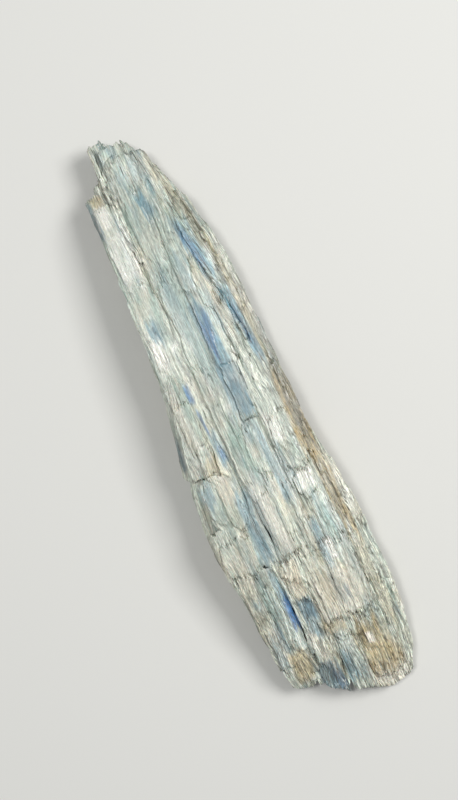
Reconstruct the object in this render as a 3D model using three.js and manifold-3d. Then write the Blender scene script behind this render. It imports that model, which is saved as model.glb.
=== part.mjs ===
// A kyanite blade cluster: one mass of flat, near-parallel crystals that grew into each other, lying on
// its cleavage face. Millimetres. +X runs from the narrow, splintered end to the wide, stepped end, +Z is
// up, and the origin is under the middle of the cluster, on the surface that it rests on.
import * as THREE from "three";
import { mergeVertices } from "three/addons/utils/BufferGeometryUtils.js";
import Module from "manifold-3d";

// Driving dimensions. Every blade below is placed inside them: along is measured from the middle, towards
// the wide end, across from the long axis, towards the laminated flank, and up from the resting plane.
const NARROW_TIP = -118;
const WIDE_END = 120.5;
const BASE_TOP = 9; // the three base blades are this thick, and their undersides are the resting face
const STEP_ALONG = 15; // the longest straight facet along a blade
const COLUMNS = 3; // facets across a blade's face
const CROWN = 0.35; // how far a blade's face stands proud in its middle
const BELLY = 0.82; // a blade's hidden face is this much narrower than its shown one
const SCATTER_STEPS = [127.1, 311.7]; // the phase that each whole number adds to the scatter of the breaks
const SCATTER_GAIN = 43758.5453; // large, so that only the fraction of the wave is left to chance
const CRYSTAL = { color: 0xa9b4b3, roughness: 0.42, metalness: 0 };

// A blade's three-number lists are its measures at its first end, its middle and its last end. roll turns its
// face about the long axis: 0 faces up, 90 faces the laminated flank and 180 faces down. first and last say
// how each end is broken: [how far its corners are cut back, how far one side runs past the other, jags].
// undercut is how much shorter the hidden face is at each end, where the break slopes.
const CROWN_BLADES = [
  { name: "crown", along: [-110.5, 57], across: [-1.2, -1.6, -1], width: [13.5, 11.5, 8.5],
    top: [15.2, 25.6, 23], thick: 7, roll: 0, first: [4, 0, 0.3], last: [0, 0, 1.2] },
  { name: "back_rim", along: [-117.6, -85], across: [-9.1, -9.2, -9.4], width: [1.5, 2.2, 2.5],
    top: [13.4, 15, 16], thick: 4, roll: -10, first: [0, 0.6, 0.2], last: [0, 0, 0] },
  { name: "back_left", along: [NARROW_TIP, -80], across: [-5.6, -5.4, -5], width: [4.4, 5.5, 6],
    top: [12, 14.6, 16], thick: 4, roll: -4, first: [0.4, 0.5, 0.8], last: [0, 0, 0] },
  { name: "back_middle", along: [-116, -75], across: [-0.3, 0, 0.5], width: [7.4, 8, 8],
    top: [12.4, 15.8, 18], thick: 4.5, roll: 0, first: [0.8, -0.6, 1], last: [0, 0, 0] },
  { name: "back_right", along: [-113, -70], across: [5.9, 7.4, 8.6], width: [3.6, 6, 7],
    top: [11.6, 15.2, 18], thick: 5, roll: 8, first: [0, -2, 0.8], last: [0, 0, 0] },
  { name: "centre_right", along: [-108, 2.5], across: [6.2, 7, 7.2], width: [4, 7.6, 6.6],
    top: [15, 24.6, 25], thick: 6.5, roll: 4, first: [1, -1, 0.8], last: [0, 0, 0.6] },
  { name: "shoulder", along: [-78, 27], across: [8.5, 13, 16.4], width: [2.5, 8.8, 12.6],
    top: [20.5, 24.4, 23.8], thick: 6, roll: 6, first: [0, 0, 0.4], last: [0, -5, 1.2] },
  { name: "grey_strip", along: [1, 69], across: [7, 7, 7.4], width: [6.6, 7.6, 7.2],
    top: [24, 23.5, 20.4], thick: 6, roll: 2, first: [0, 0, 0], last: [0, 0, 1.2] },
  { name: "right_plate", along: [21, 87], across: [16, 16.6, 16.3], width: [12, 12, 12.6],
    top: [23.1, 22, 18.6], thick: 6, roll: 6, first: [0, 0, 0], last: [1, 0, 1.5] },
  { name: "tan_plate", along: [56, 86], across: [5, 5.5, 6], width: [8.6, 9, 9.6],
    top: [21.6, 20.5, 18.2], thick: 5, roll: 0, first: [0, 0, 0], last: [0, 0, 1.4] },
  { name: "stub_plate", along: [55, 74], across: [-3.3, -3, -2.8], width: [8.2, 7.6, 6.4],
    top: [22.2, 21.2, 20], thick: 4, roll: 0, first: [0, 0, 0.8], last: [0, 0.8, 1.4] },
];
const LEFT_BLADES = [
  { name: "left_face", along: [-94, 9], across: [-14, -13.3, -13.8], width: [6, 12.6, 12],
    top: [18, 23.2, 23.4], thick: 7, roll: -5, first: [0, 0.3, 0], last: [1, 1, 0.6] },
  { name: "left_tips", along: [-101.5, -55], across: [-13.6, -13.4, -13.5], width: [9, 9.6, 8],
    top: [13.6, 17.2, 19.6], thick: 5, roll: -6, first: [0, 3, 0.8], last: [0, 0, 0] },
  { name: "left_rim", along: [-98, -45], across: [-17.6, -17, -18], width: [2.8, 3, 3],
    top: [14, 17.4, 19.4], thick: 6, roll: -25, first: [0, 0, 0.4], last: [0, 0, 0] },
  { name: "seam_splint", along: [-105, -68], across: [-9.2, -8.4, -7.6], width: [2.2, 2.8, 1.8],
    top: [15, 19.8, 22.2], thick: 5, roll: -4, first: [0, 0, 0.4], last: [0, 0, 0] },
  { name: "lens", along: [-28, 17], across: [-16, -16.8, -17], width: [1.5, 8.6, 10.4],
    top: [23.2, 24.6, 22.8], thick: 6, roll: -8, first: [0, 0, 0], last: [1, 0, 0.8] },
  { name: "seam_blade", along: [-24, 40], across: [-10.8, -9.7, -8.8], width: [3.5, 5, 3],
    top: [23.1, 23.9, 22.4], thick: 5, roll: 0, first: [0, 0, 0], last: [0, 0, 0.4] },
  { name: "left_edge", along: [-50, 16.5], across: [-18, -19.1, -23.9], width: [3, 5.6, 6.6],
    top: [18.6, 19.4, 17.4], thick: 9, roll: -32, first: [0, 0, 0], last: [1.5, 1, 0.4] },
  { name: "left_plate", along: [17, 41], across: [-16, -16, -15.4], width: [11.6, 13.6, 10.6],
    top: [24.3, 24, 22.9], thick: 4, roll: -6, first: [2, 0, 0.3], last: [2, 0, 0.4] },
  { name: "blue_slope", along: [17, 57.5], across: [-9, -9.4, -9.2], width: [2.5, 5.6, 8.4],
    top: [22.6, 22.2, 21], thick: 6, roll: -3, first: [0, 0, 0], last: [0, 0, 0.8] },
  { name: "left_low_edge", along: [13, 70], across: [-21.7, -24.5, -22.1], width: [5.6, 6.4, 6],
    top: [17, 18, 15.6], thick: 10, roll: -30, first: [0, 0, 0], last: [1, 0, 0.4] },
  { name: "left_low_plate", along: [38, 59], across: [-20, -19.4, -19], width: [12, 13.6, 13],
    top: [22.7, 21.6, 20], thick: 5, roll: -10, first: [0, 0, 0], last: [0, 0, 0.8] },
  { name: "left_low_face", along: [54, 99.5], across: [-18.6, -17.9, -17.7], width: [12.6, 12, 9.4],
    top: [20.6, 17.2, 10.6], thick: 8, roll: -10, first: [0, 0, 0], last: [1, 1, 0.5] },
  { name: "blue_ribbon", along: [57, 92], across: [-10.8, -11, -11], width: [6, 6.6, 6.6],
    top: [21.2, 18.6, 14.6], thick: 6, roll: 10, first: [0, 0, 0.4], last: [0, 0, 0.5] },
  { name: "ridge", along: [56, 96], across: [-7.9, -7, -7], width: [2.6, 2.4, 2],
    top: [21.9, 19.7, 14.6], thick: 5, roll: 0, first: [0, 0, 0], last: [0, 0, 0] },
];
const FLANK_BLADES = [
  { name: "upper_flank", along: [-109, -38], across: [8.2, 14, 20], width: [3.5, 6.6, 5.6],
    top: [14, 20.2, 21.2], thick: 8, roll: 16, first: [0, -1, 0.6], last: [0, 0, 0] },
  { name: "groove_blade", along: [-88, -6], across: [9.6, 15.2, 19.8], width: [3, 5, 3],
    top: [18.6, 21.3, 21.4], thick: 6, roll: 8, first: [0, 0, 0], last: [0, 0, 0.4] },
  { name: "outer_flank", along: [-104, -36], across: [10.2, 19.4, 22.6], width: [3.4, 7, 5.6],
    top: [12.4, 15.9, 15.6], thick: 8, roll: 34, first: [0, -2, 0.6], last: [0, 0, 0.8] },
  { name: "flank_step", along: [-87, -34], across: [17.6, 21.2, 23], width: [4, 3.6, 3],
    top: [14.8, 16.8, 17], thick: 7, roll: 42, first: [0, -1.4, 0.4], last: [0, 0, 0.6] },
  { name: "brown_flank", along: [-56, 30], across: [19.6, 21.6, 23.2], width: [4.6, 7, 6.6],
    top: [20.6, 21, 20], thick: 8, roll: 26, first: [0, 0, 0], last: [0, 0, 0] },
  { name: "middle_rim", along: [-50, 34], across: [23.4, 24.1, 24.9], width: [4, 5, 5],
    top: [13, 14, 13.6], thick: 8, roll: 52, first: [0, 0, 0.4], last: [0, 0, 0.4] },
  { name: "low_flank", along: [12, 80], across: [23.2, 26.2, 27.8], width: [6, 8, 7.6],
    top: [20, 18.4, 15.5], thick: 8, roll: 26, first: [0, 0, 0], last: [0, 0, 0.6] },
  { name: "low_rim", along: [16, 104], across: [24.8, 30.2, 28.8], width: [4, 5.6, 5],
    top: [12.5, 13, 9.5], thick: 9, roll: 50, first: [0, 0, 0], last: [1, 0, 0.4] },
  { name: "valley_ridge", along: [24, 96], across: [22.6, 23.8, 24.4], width: [2.6, 3.2, 3],
    top: [21.4, 20.5, 16.2], thick: 6, roll: 18, first: [0, 0, 0], last: [0, 0, 0.4] },
];
const WIDE_END_BLADES = [
  { name: "blue_end", along: [66, 112.6], across: [-2.8, -3, -4], width: [7.6, 8.6, 8.8],
    top: [20, 16.5, 9.6], thick: 6, roll: 0, first: [0, 0, 0], last: [0, 2.6, 0.7] },
  { name: "grey_end", along: [82, 117], across: [5.5, 5.7, 5.6], width: [9, 9.6, 10.4],
    top: [18.4, 15, 9.3], thick: 6, roll: 2, first: [0, 0, 0], last: [0, 1.6, 0.8] },
  { name: "stained_lobe", along: [84, 115], across: [17, 17.2, 17], width: [14.6, 15, 13.6],
    top: [18.2, 15.3, 10.6], thick: 6, roll: 4, first: [0, 0, 0], last: [2.4, 0, 0.8] },
  { name: "last_plate", along: [98, WIDE_END], across: [17.2, 18.2, 18.4], width: [17, 17.8, 14.8],
    top: [10.6, 9.2, 7], thick: 5, roll: 3, first: [0, 0, 0], last: [2.2, -1, 0.4] },
  { name: "right_lobe", along: [64, 113.4], across: [27, 27.6, 25.8], width: [9, 9.4, 7.6],
    top: [16, 14, 9.4], thick: 8, roll: 22, first: [0, 0, 0], last: [1.6, -1.5, 0.4] },
  { name: "left_lobe", along: [86, 107.6], across: [-15.4, -15, -14.4], width: [12.6, 12.6, 11.4],
    top: [14.4, 12.4, 8.4], thick: 6, roll: -4, first: [1.5, 0, 0.3], last: [2.4, 0, 0.4] },
];
const WALL_BLADES = [
  { name: "left_wall_tip", along: [-97, -28], across: [-17.6, -17.5, -19.4], width: [3.5, 5, 5.5],
    top: [12, 13.6, 13.8], thick: 7, roll: -78, first: [0, 0, 0.8], last: [0, 0, 0.8] },
  { name: "left_wall_middle", along: [-46, 36], across: [-18.7, -20.8, -24.8], width: [5, 6, 6.4],
    top: [12.4, 13, 11.6], thick: 9, roll: -80, first: [0, 0, 0.8], last: [0, 0, 0.8] },
  { name: "left_wall_end", along: [24, 97], across: [-24.5, -25.1, -21.7], width: [6.4, 6, 4.4],
    top: [12.2, 10.8, 8], thick: 10, roll: -82, first: [0, 0, 0.8], last: [0, 0, 0.8] },
  { name: "left_foot_tip", along: [-90, -4], across: [-13.8, -15.2, -17.4], width: [6, 8.4, 9],
    top: [8.6, 6.6, 6], thick: 9, roll: -118, first: [0, 2, 0.8], last: [0, 0, 0.8] },
  { name: "left_foot_middle", along: [-22, 66], across: [-16.8, -19.6, -20.8], width: [8, 9.6, 9],
    top: [6.2, 6, 6.2], thick: 10, roll: -124, first: [0, 0, 0.8], last: [0, 1, 0.8] },
  { name: "left_foot_end", along: [50, 101], across: [-20.6, -19, -15.6], width: [8.6, 8, 6],
    top: [6.6, 5.8, 5.2], thick: 10, roll: -126, first: [0, 0, 0.8], last: [1, 1, 0.8] },
  { name: "right_wall_tip", along: [-98, -24], across: [9.2, 18, 21.5], width: [4.4, 6, 6.4],
    top: [9.4, 11, 11.4], thick: 8, roll: 86, first: [0, 0, 0.8], last: [0, 0, 0.8] },
  { name: "right_wall_middle", along: [-38, 48], across: [21, 22.7, 26.6], width: [6, 6.4, 6],
    top: [10, 9.6, 9.4], thick: 9, roll: 88, first: [0, 0, 0.8], last: [0, 0, 0.8] },
  { name: "right_wall_end", along: [36, 109], across: [25.8, 29.3, 26.4], width: [6, 6, 5],
    top: [9.2, 8.6, 7.4], thick: 10, roll: 90, first: [0, 0, 0.8], last: [0, 0, 0.8] },
  { name: "right_foot_tip", along: [-92, -12], across: [9, 14.4, 17.6], width: [6, 8, 9],
    top: [7.6, 6, 5.2], thick: 9, roll: 122, first: [0, -1, 0.8], last: [0, 0, 0.8] },
  { name: "right_foot_middle", along: [-32, 58], across: [17, 19.2, 22.4], width: [8, 9, 9],
    top: [5.2, 5.2, 5], thick: 10, roll: 126, first: [0, 0, 0.8], last: [0, 0, 0.8] },
  { name: "right_foot_end", along: [44, 112], across: [21.6, 23.6, 21], width: [8, 8.6, 7],
    top: [5, 4.8, 4.4], thick: 10, roll: 128, first: [0, 0, 0.8], last: [1, 0, 0.8] },
];
const UNDERSIDE_BLADES = [
  { name: "base_left", along: [-78, 72], across: [-8, -9.6, -9.2], width: [8, 11.6, 10],
    top: BASE_TOP, thick: BASE_TOP, roll: 0, undercut: 11,
    first: [0, 3, 1.4], last: [0, 3, 1.4] },
  { name: "base_middle", along: [-60, 96], across: [0.4, 1.4, 2.4], width: [9, 12, 11],
    top: BASE_TOP, thick: BASE_TOP, roll: 0, undercut: 14,
    first: [0, -4, 1.4], last: [0, 3, 1.4] },
  { name: "base_right", along: [-44, 86], across: [8.4, 11.6, 13], width: [6, 10, 9],
    top: BASE_TOP, thick: BASE_TOP, roll: 0, undercut: 9,
    first: [0, -2, 1.4], last: [0, -3, 1.4] },
  { name: "under_tip_left", along: [-113, -46], across: [-4.6, -7.6, -10.4], width: [6, 9, 9],
    top: [9, 5.2, 2.2], thick: 6, roll: -172, first: [0, 1, 1], last: [0, 0, 1] },
  { name: "under_tip_middle", along: [-114, -34], across: [0.4, 0.4, 0], width: [6, 9, 9],
    top: [8.6, 4.2, 1], thick: 6, roll: 180, first: [0, -1, 1], last: [0, 0, 1] },
  { name: "under_tip_right", along: [-107, -28], across: [5, 8.6, 9], width: [5, 8, 8],
    top: [9.4, 5.4, 1.8], thick: 6, roll: 172, first: [0, -1, 1], last: [0, 0, 1] },
  { name: "under_left", along: [-56, 60], across: [-11.6, -13.6, -13.4], width: [7, 8, 8],
    top: [2.6, 2.2, 2.4], thick: 7, roll: -160, first: [0, 0, 1], last: [0, 0, 1] },
  { name: "under_right", along: [-48, 74], across: [12, 15.4, 17.6], width: [7, 8, 8],
    top: [2.4, 2, 2.4], thick: 7, roll: 160, first: [0, 0, 1], last: [0, 0, 1] },
  { name: "under_end_left", along: [48, 105.5], across: [-12.4, -11.4, -11], width: [9, 9, 8],
    top: [1.6, 3, 5.4], thick: 5, roll: -174, first: [0, 0, 1], last: [1, 1, 1] },
  { name: "under_end_middle", along: [62, 111], across: [-3.4, -2.4, -1.6], width: [8, 9, 8],
    top: [1.2, 2.4, 5.2], thick: 5, roll: 180, first: [0, 0, 1], last: [1, 1, 1] },
  { name: "under_end_right", along: [58, 116], across: [10, 11, 12], width: [11, 13, 12],
    top: [1, 1.6, 3.4], thick: 5, roll: 176, first: [0, 0, 1], last: [1, 0, 1] },
  { name: "left_bed", along: [-92, 98], across: [-12.5, -15.2, -15], width: [7, 11.5, 10],
    top: [17.2, 22.6, 11.4], thick: 6, roll: -6, first: [0, 0, 0.6], last: [0, 0, 0.6] },
  { name: "right_bed", along: [-96, 104], across: [6, 17, 19.4], width: [10, 16, 16],
    top: [16.4, 22.8, 12.4], thick: 6, roll: 8, first: [0, 0, 0.6], last: [0, 0, 0.6] },
  { name: "core", along: [-102, 108], across: [-2, 1.6, 6], width: [17, 38, 32],
    top: [13, 20, 9], thick: [6, 15.5, 3.5], roll: 0, first: [2, 0, 0], last: [3, 0, 0] },
];
const BLADES = [
  ...CROWN_BLADES,
  ...LEFT_BLADES,
  ...FLANK_BLADES,
  ...WIDE_END_BLADES,
  ...WALL_BLADES,
  ...UNDERSIDE_BLADES,
];

// The smooth curve through a blade's values at its first end, middle and last end.
function through([first, middle, last], share) {
  return (
    first * (1 - share) * (1 - 2 * share) +
    4 * middle * share * (1 - share) +
    last * share * (2 * share - 1)
  );
}

// A measure that a blade states once for its whole length, or at its first end, middle and last end.
function measure(value, share) {
  return Array.isArray(value) ? through(value, share) : value;
}

// A repeatable number from -1 to 1 for each pair of numbers.
function scatter(a, b) {
  const wave = Math.sin(a * SCATTER_STEPS[0] + b * SCATTER_STEPS[1]) * SCATTER_GAIN;
  return 2 * (wave - Math.floor(wave)) - 1;
}

// How far an end reaches past its blade's stated length, at a place across the blade from -1 to 1.
function brokenEnd([cutBack, slant, jag], side, seed) {
  const column = Math.round(((side + 1) / 2) * COLUMNS);
  return -cutBack * side * side + slant * side + jag * scatter(column, seed);
}

// One blade: a box with facets along and across, whose corners are moved to the blade's own shape.
function bladeGeometry(blade, seed) {
  const [from, to] = blade.along;
  const { undercut = 0 } = blade;
  const roll = THREE.MathUtils.degToRad(blade.roll);
  const rows = Math.max(2, Math.round((to - from) / STEP_ALONG));
  const box = new THREE.BoxGeometry(1, 2, 1, rows, COLUMNS, 1);
  const place = box.getAttribute("position");
  for (let i = 0; i < place.count; i++) {
    const share = place.getX(i) + 0.5;
    const side = place.getY(i);
    const shown = place.getZ(i) > 0;
    const half = (measure(blade.width, share) / 2) * (shown ? 1 : BELLY);
    const out = side * half;
    const depth = shown ? CROWN * side * side : measure(blade.thick, share);
    const inset = shown ? 0 : undercut;
    const start = from - brokenEnd(blade.first, side, seed) + inset;
    const end = to + brokenEnd(blade.last, side, seed + 0.5) - inset;
    place.setXYZ(
      i,
      THREE.MathUtils.lerp(start, end, share),
      measure(blade.across, share) + out * Math.cos(roll) - depth * Math.sin(roll),
      measure(blade.top, share) - out * Math.sin(roll) - depth * Math.cos(roll),
    );
  }
  return box;
}

const wasm = await Module();
wasm.setup();

// A closed geometry as a solid that can be joined to others.
function solidOf(geometry) {
  const bare = geometry.clone();
  bare.deleteAttribute("normal");
  bare.deleteAttribute("uv");
  const merged = mergeVertices(bare);
  return new wasm.Manifold(
    new wasm.Mesh({
      numProp: 3,
      vertProperties: merged.getAttribute("position").array,
      triVerts: new Uint32Array(merged.index.array),
    }),
  );
}

// The joined solid as a geometry, moved so that the origin is under the middle of its box.
function centredGeometry(solid) {
  const { numProp, vertProperties, triVerts } = solid.getMesh();
  const count = vertProperties.length / numProp;
  const places = new Float32Array(count * 3);
  for (let i = 0; i < count; i++)
    places.set(vertProperties.subarray(i * numProp, i * numProp + 3), i * 3);
  const geometry = new THREE.BufferGeometry();
  geometry.setAttribute("position", new THREE.BufferAttribute(places, 3));
  geometry.setIndex(new THREE.BufferAttribute(triVerts, 1));
  geometry.computeBoundingBox();
  const { min, max } = geometry.boundingBox;
  geometry.translate(-(min.x + max.x) / 2, -(min.y + max.y) / 2, -min.z);
  geometry.computeVertexNormals();
  return geometry;
}

// Crystals that grew together are one body, so every blade is joined to the rest. The outer surface is the
// largest that the join leaves, and taking it alone fills the small gaps that blades shut in.
function clusterMesh() {
  const joined = BLADES.map((blade, seed) => solidOf(bladeGeometry(blade, seed))).reduce(
    (cluster, blade) => cluster.add(blade),
  );
  const outer = joined
    .decompose()
    .reduce((largest, surface) => (surface.volume() > largest.volume() ? surface : largest));
  const mesh = new THREE.Mesh(
    centredGeometry(outer),
    new THREE.MeshStandardMaterial({ ...CRYSTAL, flatShading: true }),
  );
  mesh.name = "kyanite_cluster";
  return mesh;
}

const cluster = new THREE.Group();
cluster.add(clusterMesh());
export default cluster;
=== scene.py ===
"""The looks of a kyanite blade cluster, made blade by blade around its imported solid.

The cluster is one intergrown mass of flat crystals. Each crystal here is a closed blade whose face
splits into the thin parallel sheets that kyanite cleaves into, and whose ends are broken off in steps.
Design lengths are millimetres: along the blades, towards the wide end, across them, towards the
laminated flank, and up from the resting plane. Axes turns them into the metres of the cluster's frame.
"""

import logging
import math
from dataclasses import dataclass
from enum import Enum

import bmesh
import bpy
import numpy as np
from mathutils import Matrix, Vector


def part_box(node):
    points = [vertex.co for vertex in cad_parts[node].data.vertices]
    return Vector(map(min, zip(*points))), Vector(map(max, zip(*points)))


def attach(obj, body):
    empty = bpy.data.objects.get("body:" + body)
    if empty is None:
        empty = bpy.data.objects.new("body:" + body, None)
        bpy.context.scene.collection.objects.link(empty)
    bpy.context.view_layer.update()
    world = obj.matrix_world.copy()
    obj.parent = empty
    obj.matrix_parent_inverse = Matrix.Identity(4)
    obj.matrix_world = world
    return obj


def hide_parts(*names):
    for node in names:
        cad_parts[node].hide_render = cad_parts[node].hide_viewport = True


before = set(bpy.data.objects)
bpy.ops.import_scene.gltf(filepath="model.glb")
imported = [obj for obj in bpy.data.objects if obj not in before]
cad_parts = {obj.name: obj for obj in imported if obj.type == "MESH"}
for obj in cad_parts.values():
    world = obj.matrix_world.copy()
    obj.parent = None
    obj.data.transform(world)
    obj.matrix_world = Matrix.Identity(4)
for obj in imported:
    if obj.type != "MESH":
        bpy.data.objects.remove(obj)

Triple = tuple[float, float, float]
Array = np.ndarray

LOG = logging.getLogger("kyanite")
NODE = "kyanite_cluster"
BODY = "root"
MM = 0.001
GRAIN_UV = "Grain"
BAKE_UV = "OFBake"
SCATTER_STEPS = (127.1, 311.7, 74.7, 219.3)  # the phase that each key adds
SCATTER_GAIN = 43758.5453  # large, so that only the fraction of the wave is left to chance


# ---------------------------------------------------------------- numbers that vary along a blade


def through(values: Triple, share: Array) -> Array:
    """Follows the smooth curve through a blade's measures at its first end, middle and last end.

    Args:
        values: The three measures.
        share: How far along the blade, from 0 to 1.

    Returns:
        The measure at each share.
    """
    first, middle, last = values
    return (
        first * (1 - share) * (1 - 2 * share)
        + 4 * middle * share * (1 - share)
        + last * share * (2 * share - 1)
    )


def scatter(*keys: Array | float) -> Array:
    """Gives a repeatable number from -1 to 1 for each combination of keys.

    Args:
        keys: Numbers or arrays of them, such as a cell's place and a seed.

    Returns:
        The numbers, in the keys' common shape.
    """
    phase = sum(key * step for key, step in zip(keys, SCATTER_STEPS))
    wave = np.sin(phase) * SCATTER_GAIN
    return 2 * (wave - np.floor(wave)) - 1


def smooth(value: Array) -> Array:
    """Eases a value from 0 to 1, clipping what is outside."""
    value = np.clip(value, 0, 1)
    return value * value * (3 - 2 * value)


def fibre(along: Array, across: Array, length: float, width: float, seed: float) -> Array:
    """Gives smooth noise drawn out along the blades, from -1 to 1.

    Args:
        along: Design places along the blades.
        across: Design places across them.
        length: How long one streak of the noise is.
        width: How wide one streak is.
        seed: Which noise to give.

    Returns:
        The noise at each place.
    """
    row = along / length
    lane = across / width
    low_row = np.floor(row)
    low_lane = np.floor(lane)
    down = smooth(row - low_row)
    over = smooth(lane - low_lane)
    near, far = (
        scatter(step, low_lane, seed) * (1 - over) + scatter(step, low_lane + 1, seed) * over
        for step in (low_row, low_row + 1)
    )
    return near * (1 - down) + far * down


# ---------------------------------------------------------------- the cluster's axes


@dataclass(frozen=True)
class Axes:
    """The design's reach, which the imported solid's box fills exactly.

    Attributes:
        along: The narrow and the wide end.
        across: The plain edge and the laminated edge.
        height: The highest crystal.
    """

    along: tuple[float, float] = (-118.57, 120.82)
    across: tuple[float, float] = (-27.10, 32.03)
    height: float = 26.14

    def place(self, along: Array, across: Array, up: Array) -> Array:
        """Turns design places into metres in the cluster's frame.

        Args:
            along: Places along the blades.
            across: Places across the blades.
            up: Heights above the resting plane.

        Returns:
            One row of x, y and z for each place.
        """
        low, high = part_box(NODE)
        scale_x = (high.x - low.x) / (self.along[1] - self.along[0])
        scale_y = (high.y - low.y) / (self.across[1] - self.across[0])
        scale_z = (high.z - low.z) / self.height
        return np.stack(
            [
                low.x + (along - self.along[0]) * scale_x,
                low.y + (across - self.across[0]) * scale_y,
                low.z + up * scale_z,
            ],
            axis=-1,
        )


AXES = Axes()


# ---------------------------------------------------------------- how kyanite splits


@dataclass(frozen=True)
class Torn:
    """Thin sheets torn back from one another, so that their edges run like the contours of a map.

    Attributes:
        length: How long a hollow in the pile of sheets is.
        width: How wide it is.
        pile: How many sheets the pile rises and falls by.
        thickness: How thick one sheet is.
        edge: How wide the painted shade line under a sheet's edge is.
        seed: Which pattern to use.
        finer: How large the hollows within a hollow are, as a share of it.
        tooth: How long and how wide a tooth of a torn edge is.
        splint: How long and how wide a straight splint of it is.
        reach: How far apart two places are taken to find the pile's slope.
        flattest: The least slope, so that the lines keep their width on level ground.
    """

    length: float
    width: float
    pile: float
    thickness: float
    edge: float
    seed: int
    finer: float = 0.36
    tooth: tuple[float, float] = (3.5, 0.62)
    splint: tuple[float, float] = (11, 0.55)
    reach: float = 0.18
    flattest: float = 0.2

    def height(self, along: Array, across: Array) -> Array:
        """Gives how many sheets are left at each place, before they are counted off whole."""
        broad = fibre(along, across, self.length, self.width, self.seed)
        narrow = fibre(along, across, self.finer * self.length, self.finer * self.width, self.seed + 1)
        teeth = fibre(along, across, *self.tooth, self.seed + 2)
        splint_length, splint_width = self.splint
        lane = np.floor(across / splint_width + 0.6 * np.sin(along / 17))
        run = np.floor(along / splint_length + scatter(lane, self.seed))
        splinters = scatter(lane, run, self.seed + 3)
        return self.pile * (broad + 0.42 * narrow + 0.12 * teeth + 0.07 * splinters)

    def split(self, along: Array, across: Array) -> tuple[Array, Array, Array]:
        """Tears the sheets.

        Args:
            along: Places along the blades.
            across: Places across the face.

        Returns:
            How deep the face lies under the middle of the pile, each sheet's own brightness from -1 to 1,
            and the painted shade at the foot of a sheet's edge, with below 0 its rim painted bright as a
            highlight, which also stands for the whitening of a broken edge.
        """
        pile = self.height(along, across)
        rise = (self.height(along + self.reach, across) - pile) / self.reach
        fall = (self.height(along, across + self.reach) - pile) / self.reach
        slope = np.hypot(rise, fall) + self.flattest
        level = np.floor(pile)
        past = (pile - level) / slope
        ahead = (level + 1 - pile) / slope
        # Painted light at each sheet's edge: painted shade just below the next sheet up, and, below 0, a
        # painted highlight just past the edge.
        lines = np.clip(1 - ahead / self.edge, 0, 1) - 0.55 * np.clip(1 - past / self.edge, 0, 1)
        return (0.5 - level) * self.thickness, scatter(level, self.seed), lines


@dataclass(frozen=True)
class Cracks:
    """Long straight cracks between the sheets that stand on edge.

    Attributes:
        width: How far apart they may lie.
        length: How far one runs.
        gap: How wide it opens.
        share: How many of them are open.
        seed: Which pattern to use.
    """

    width: float
    length: float
    gap: float
    share: float
    seed: int

    def open(self, along: Array, across: Array) -> Array:
        """Gives how much of a crack each place is, from 0 to 1."""
        lane = across / self.width
        nearest = np.rint(lane)
        aside = 0.35 * scatter(nearest, self.seed)
        reach = along / self.length + 3 * scatter(nearest, self.seed + 1)
        run = np.floor(reach)
        here = reach - run
        opened = scatter(nearest, run, self.seed + 2) < 2 * self.share - 1
        taper = smooth(5 * here) * smooth(5 * (1 - here))
        apart = np.abs(lane - nearest - aside) * self.width
        return opened * taper * np.clip(1.3 - apart / self.gap, 0, 1)


@dataclass(frozen=True)
class Relief:
    """The steps on a crystal's face, at every size at once.

    Attributes:
        plates: Sheets that cover much of a face.
        sheets: The smaller ones on them.
        cracks: The long cracks.
        hairs: The hairlines between them.
        shattered: Where along the cluster the plates start to be shorter.
        shear: How far a sheet's torn end runs on for each millimetre across.
        apart: How far aside the next blade reads the smaller patterns.
        opening: How deep an open crack is.
    """

    plates: Torn = Torn(length=38, width=9, pile=1.3, thickness=0.24, edge=0.3, seed=3)
    sheets: Torn = Torn(length=16, width=3.4, pile=0.75, thickness=0.12, edge=0.24, seed=11)
    cracks: Cracks = Cracks(width=2.7, length=31, gap=0.26, share=0.26, seed=23)
    hairs: Cracks = Cracks(width=0.9, length=15, gap=0.2, share=0.2, seed=31)
    shattered: float = 50.0
    shear: float = 1.5
    apart: float = 37.7
    opening: float = 0.28

    def carve(
        self, along: Array, across: Array, place: Array, strength: Array, seed: float
    ) -> tuple[Array, Array, Array]:
        """Carves the steps into a face.

        Args:
            along: Places along the blades.
            across: Places across the face.
            place: The same places as the widest plates see them, which may run over several blades.
            strength: How broken the face is there, 1 being usual.
            seed: Shifts the smaller patterns, so that no two blades share one.

        Returns:
            The depth of the steps in millimetres, the sheets' brightness from -1 to 1, and the painted
            light at
            their edges: 1 for the painted shade in an open crack, below 0 for a rim painted bright as a
                highlight.
        """
        drift = 0.9 * fibre(along, place, 33, 9, 7.0) + 0.3 * fibre(along, place, 9, 2.6, 8.0)
        shifted = across + drift + self.apart * seed
        broken_up = along + 1.3 * np.maximum(along - self.shattered, 0)
        deep, plate, plate_lines = self.plates.split(broken_up, place + drift)
        sheared = broken_up + 5.9 * seed + self.shear * shifted
        thin, sheet, sheet_lines = self.sheets.split(sheared, shifted)
        opened = np.maximum(self.cracks.open(along, shifted), 0.6 * self.hairs.open(along, shifted))
        ripple = 0.05 * fibre(along, shifted, 7, 0.6, seed + 2)
        depth = deep + thin + ripple + self.opening * opened
        # Painted shade in the open cracks and at the sheets' feet; below 0, painted highlights on their
        # rims.
        dark = np.maximum(np.maximum(plate_lines, 0.8 * sheet_lines), opened)
        bright = np.minimum(np.minimum(plate_lines, 0.8 * sheet_lines), 0) * (dark <= 0)
        lines = np.maximum(dark, 0) + bright
        lines = lines * np.minimum(0.25 + 0.75 * strength, 1.4)
        return depth * strength, 1.05 * plate + 0.5 * sheet, lines


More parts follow.
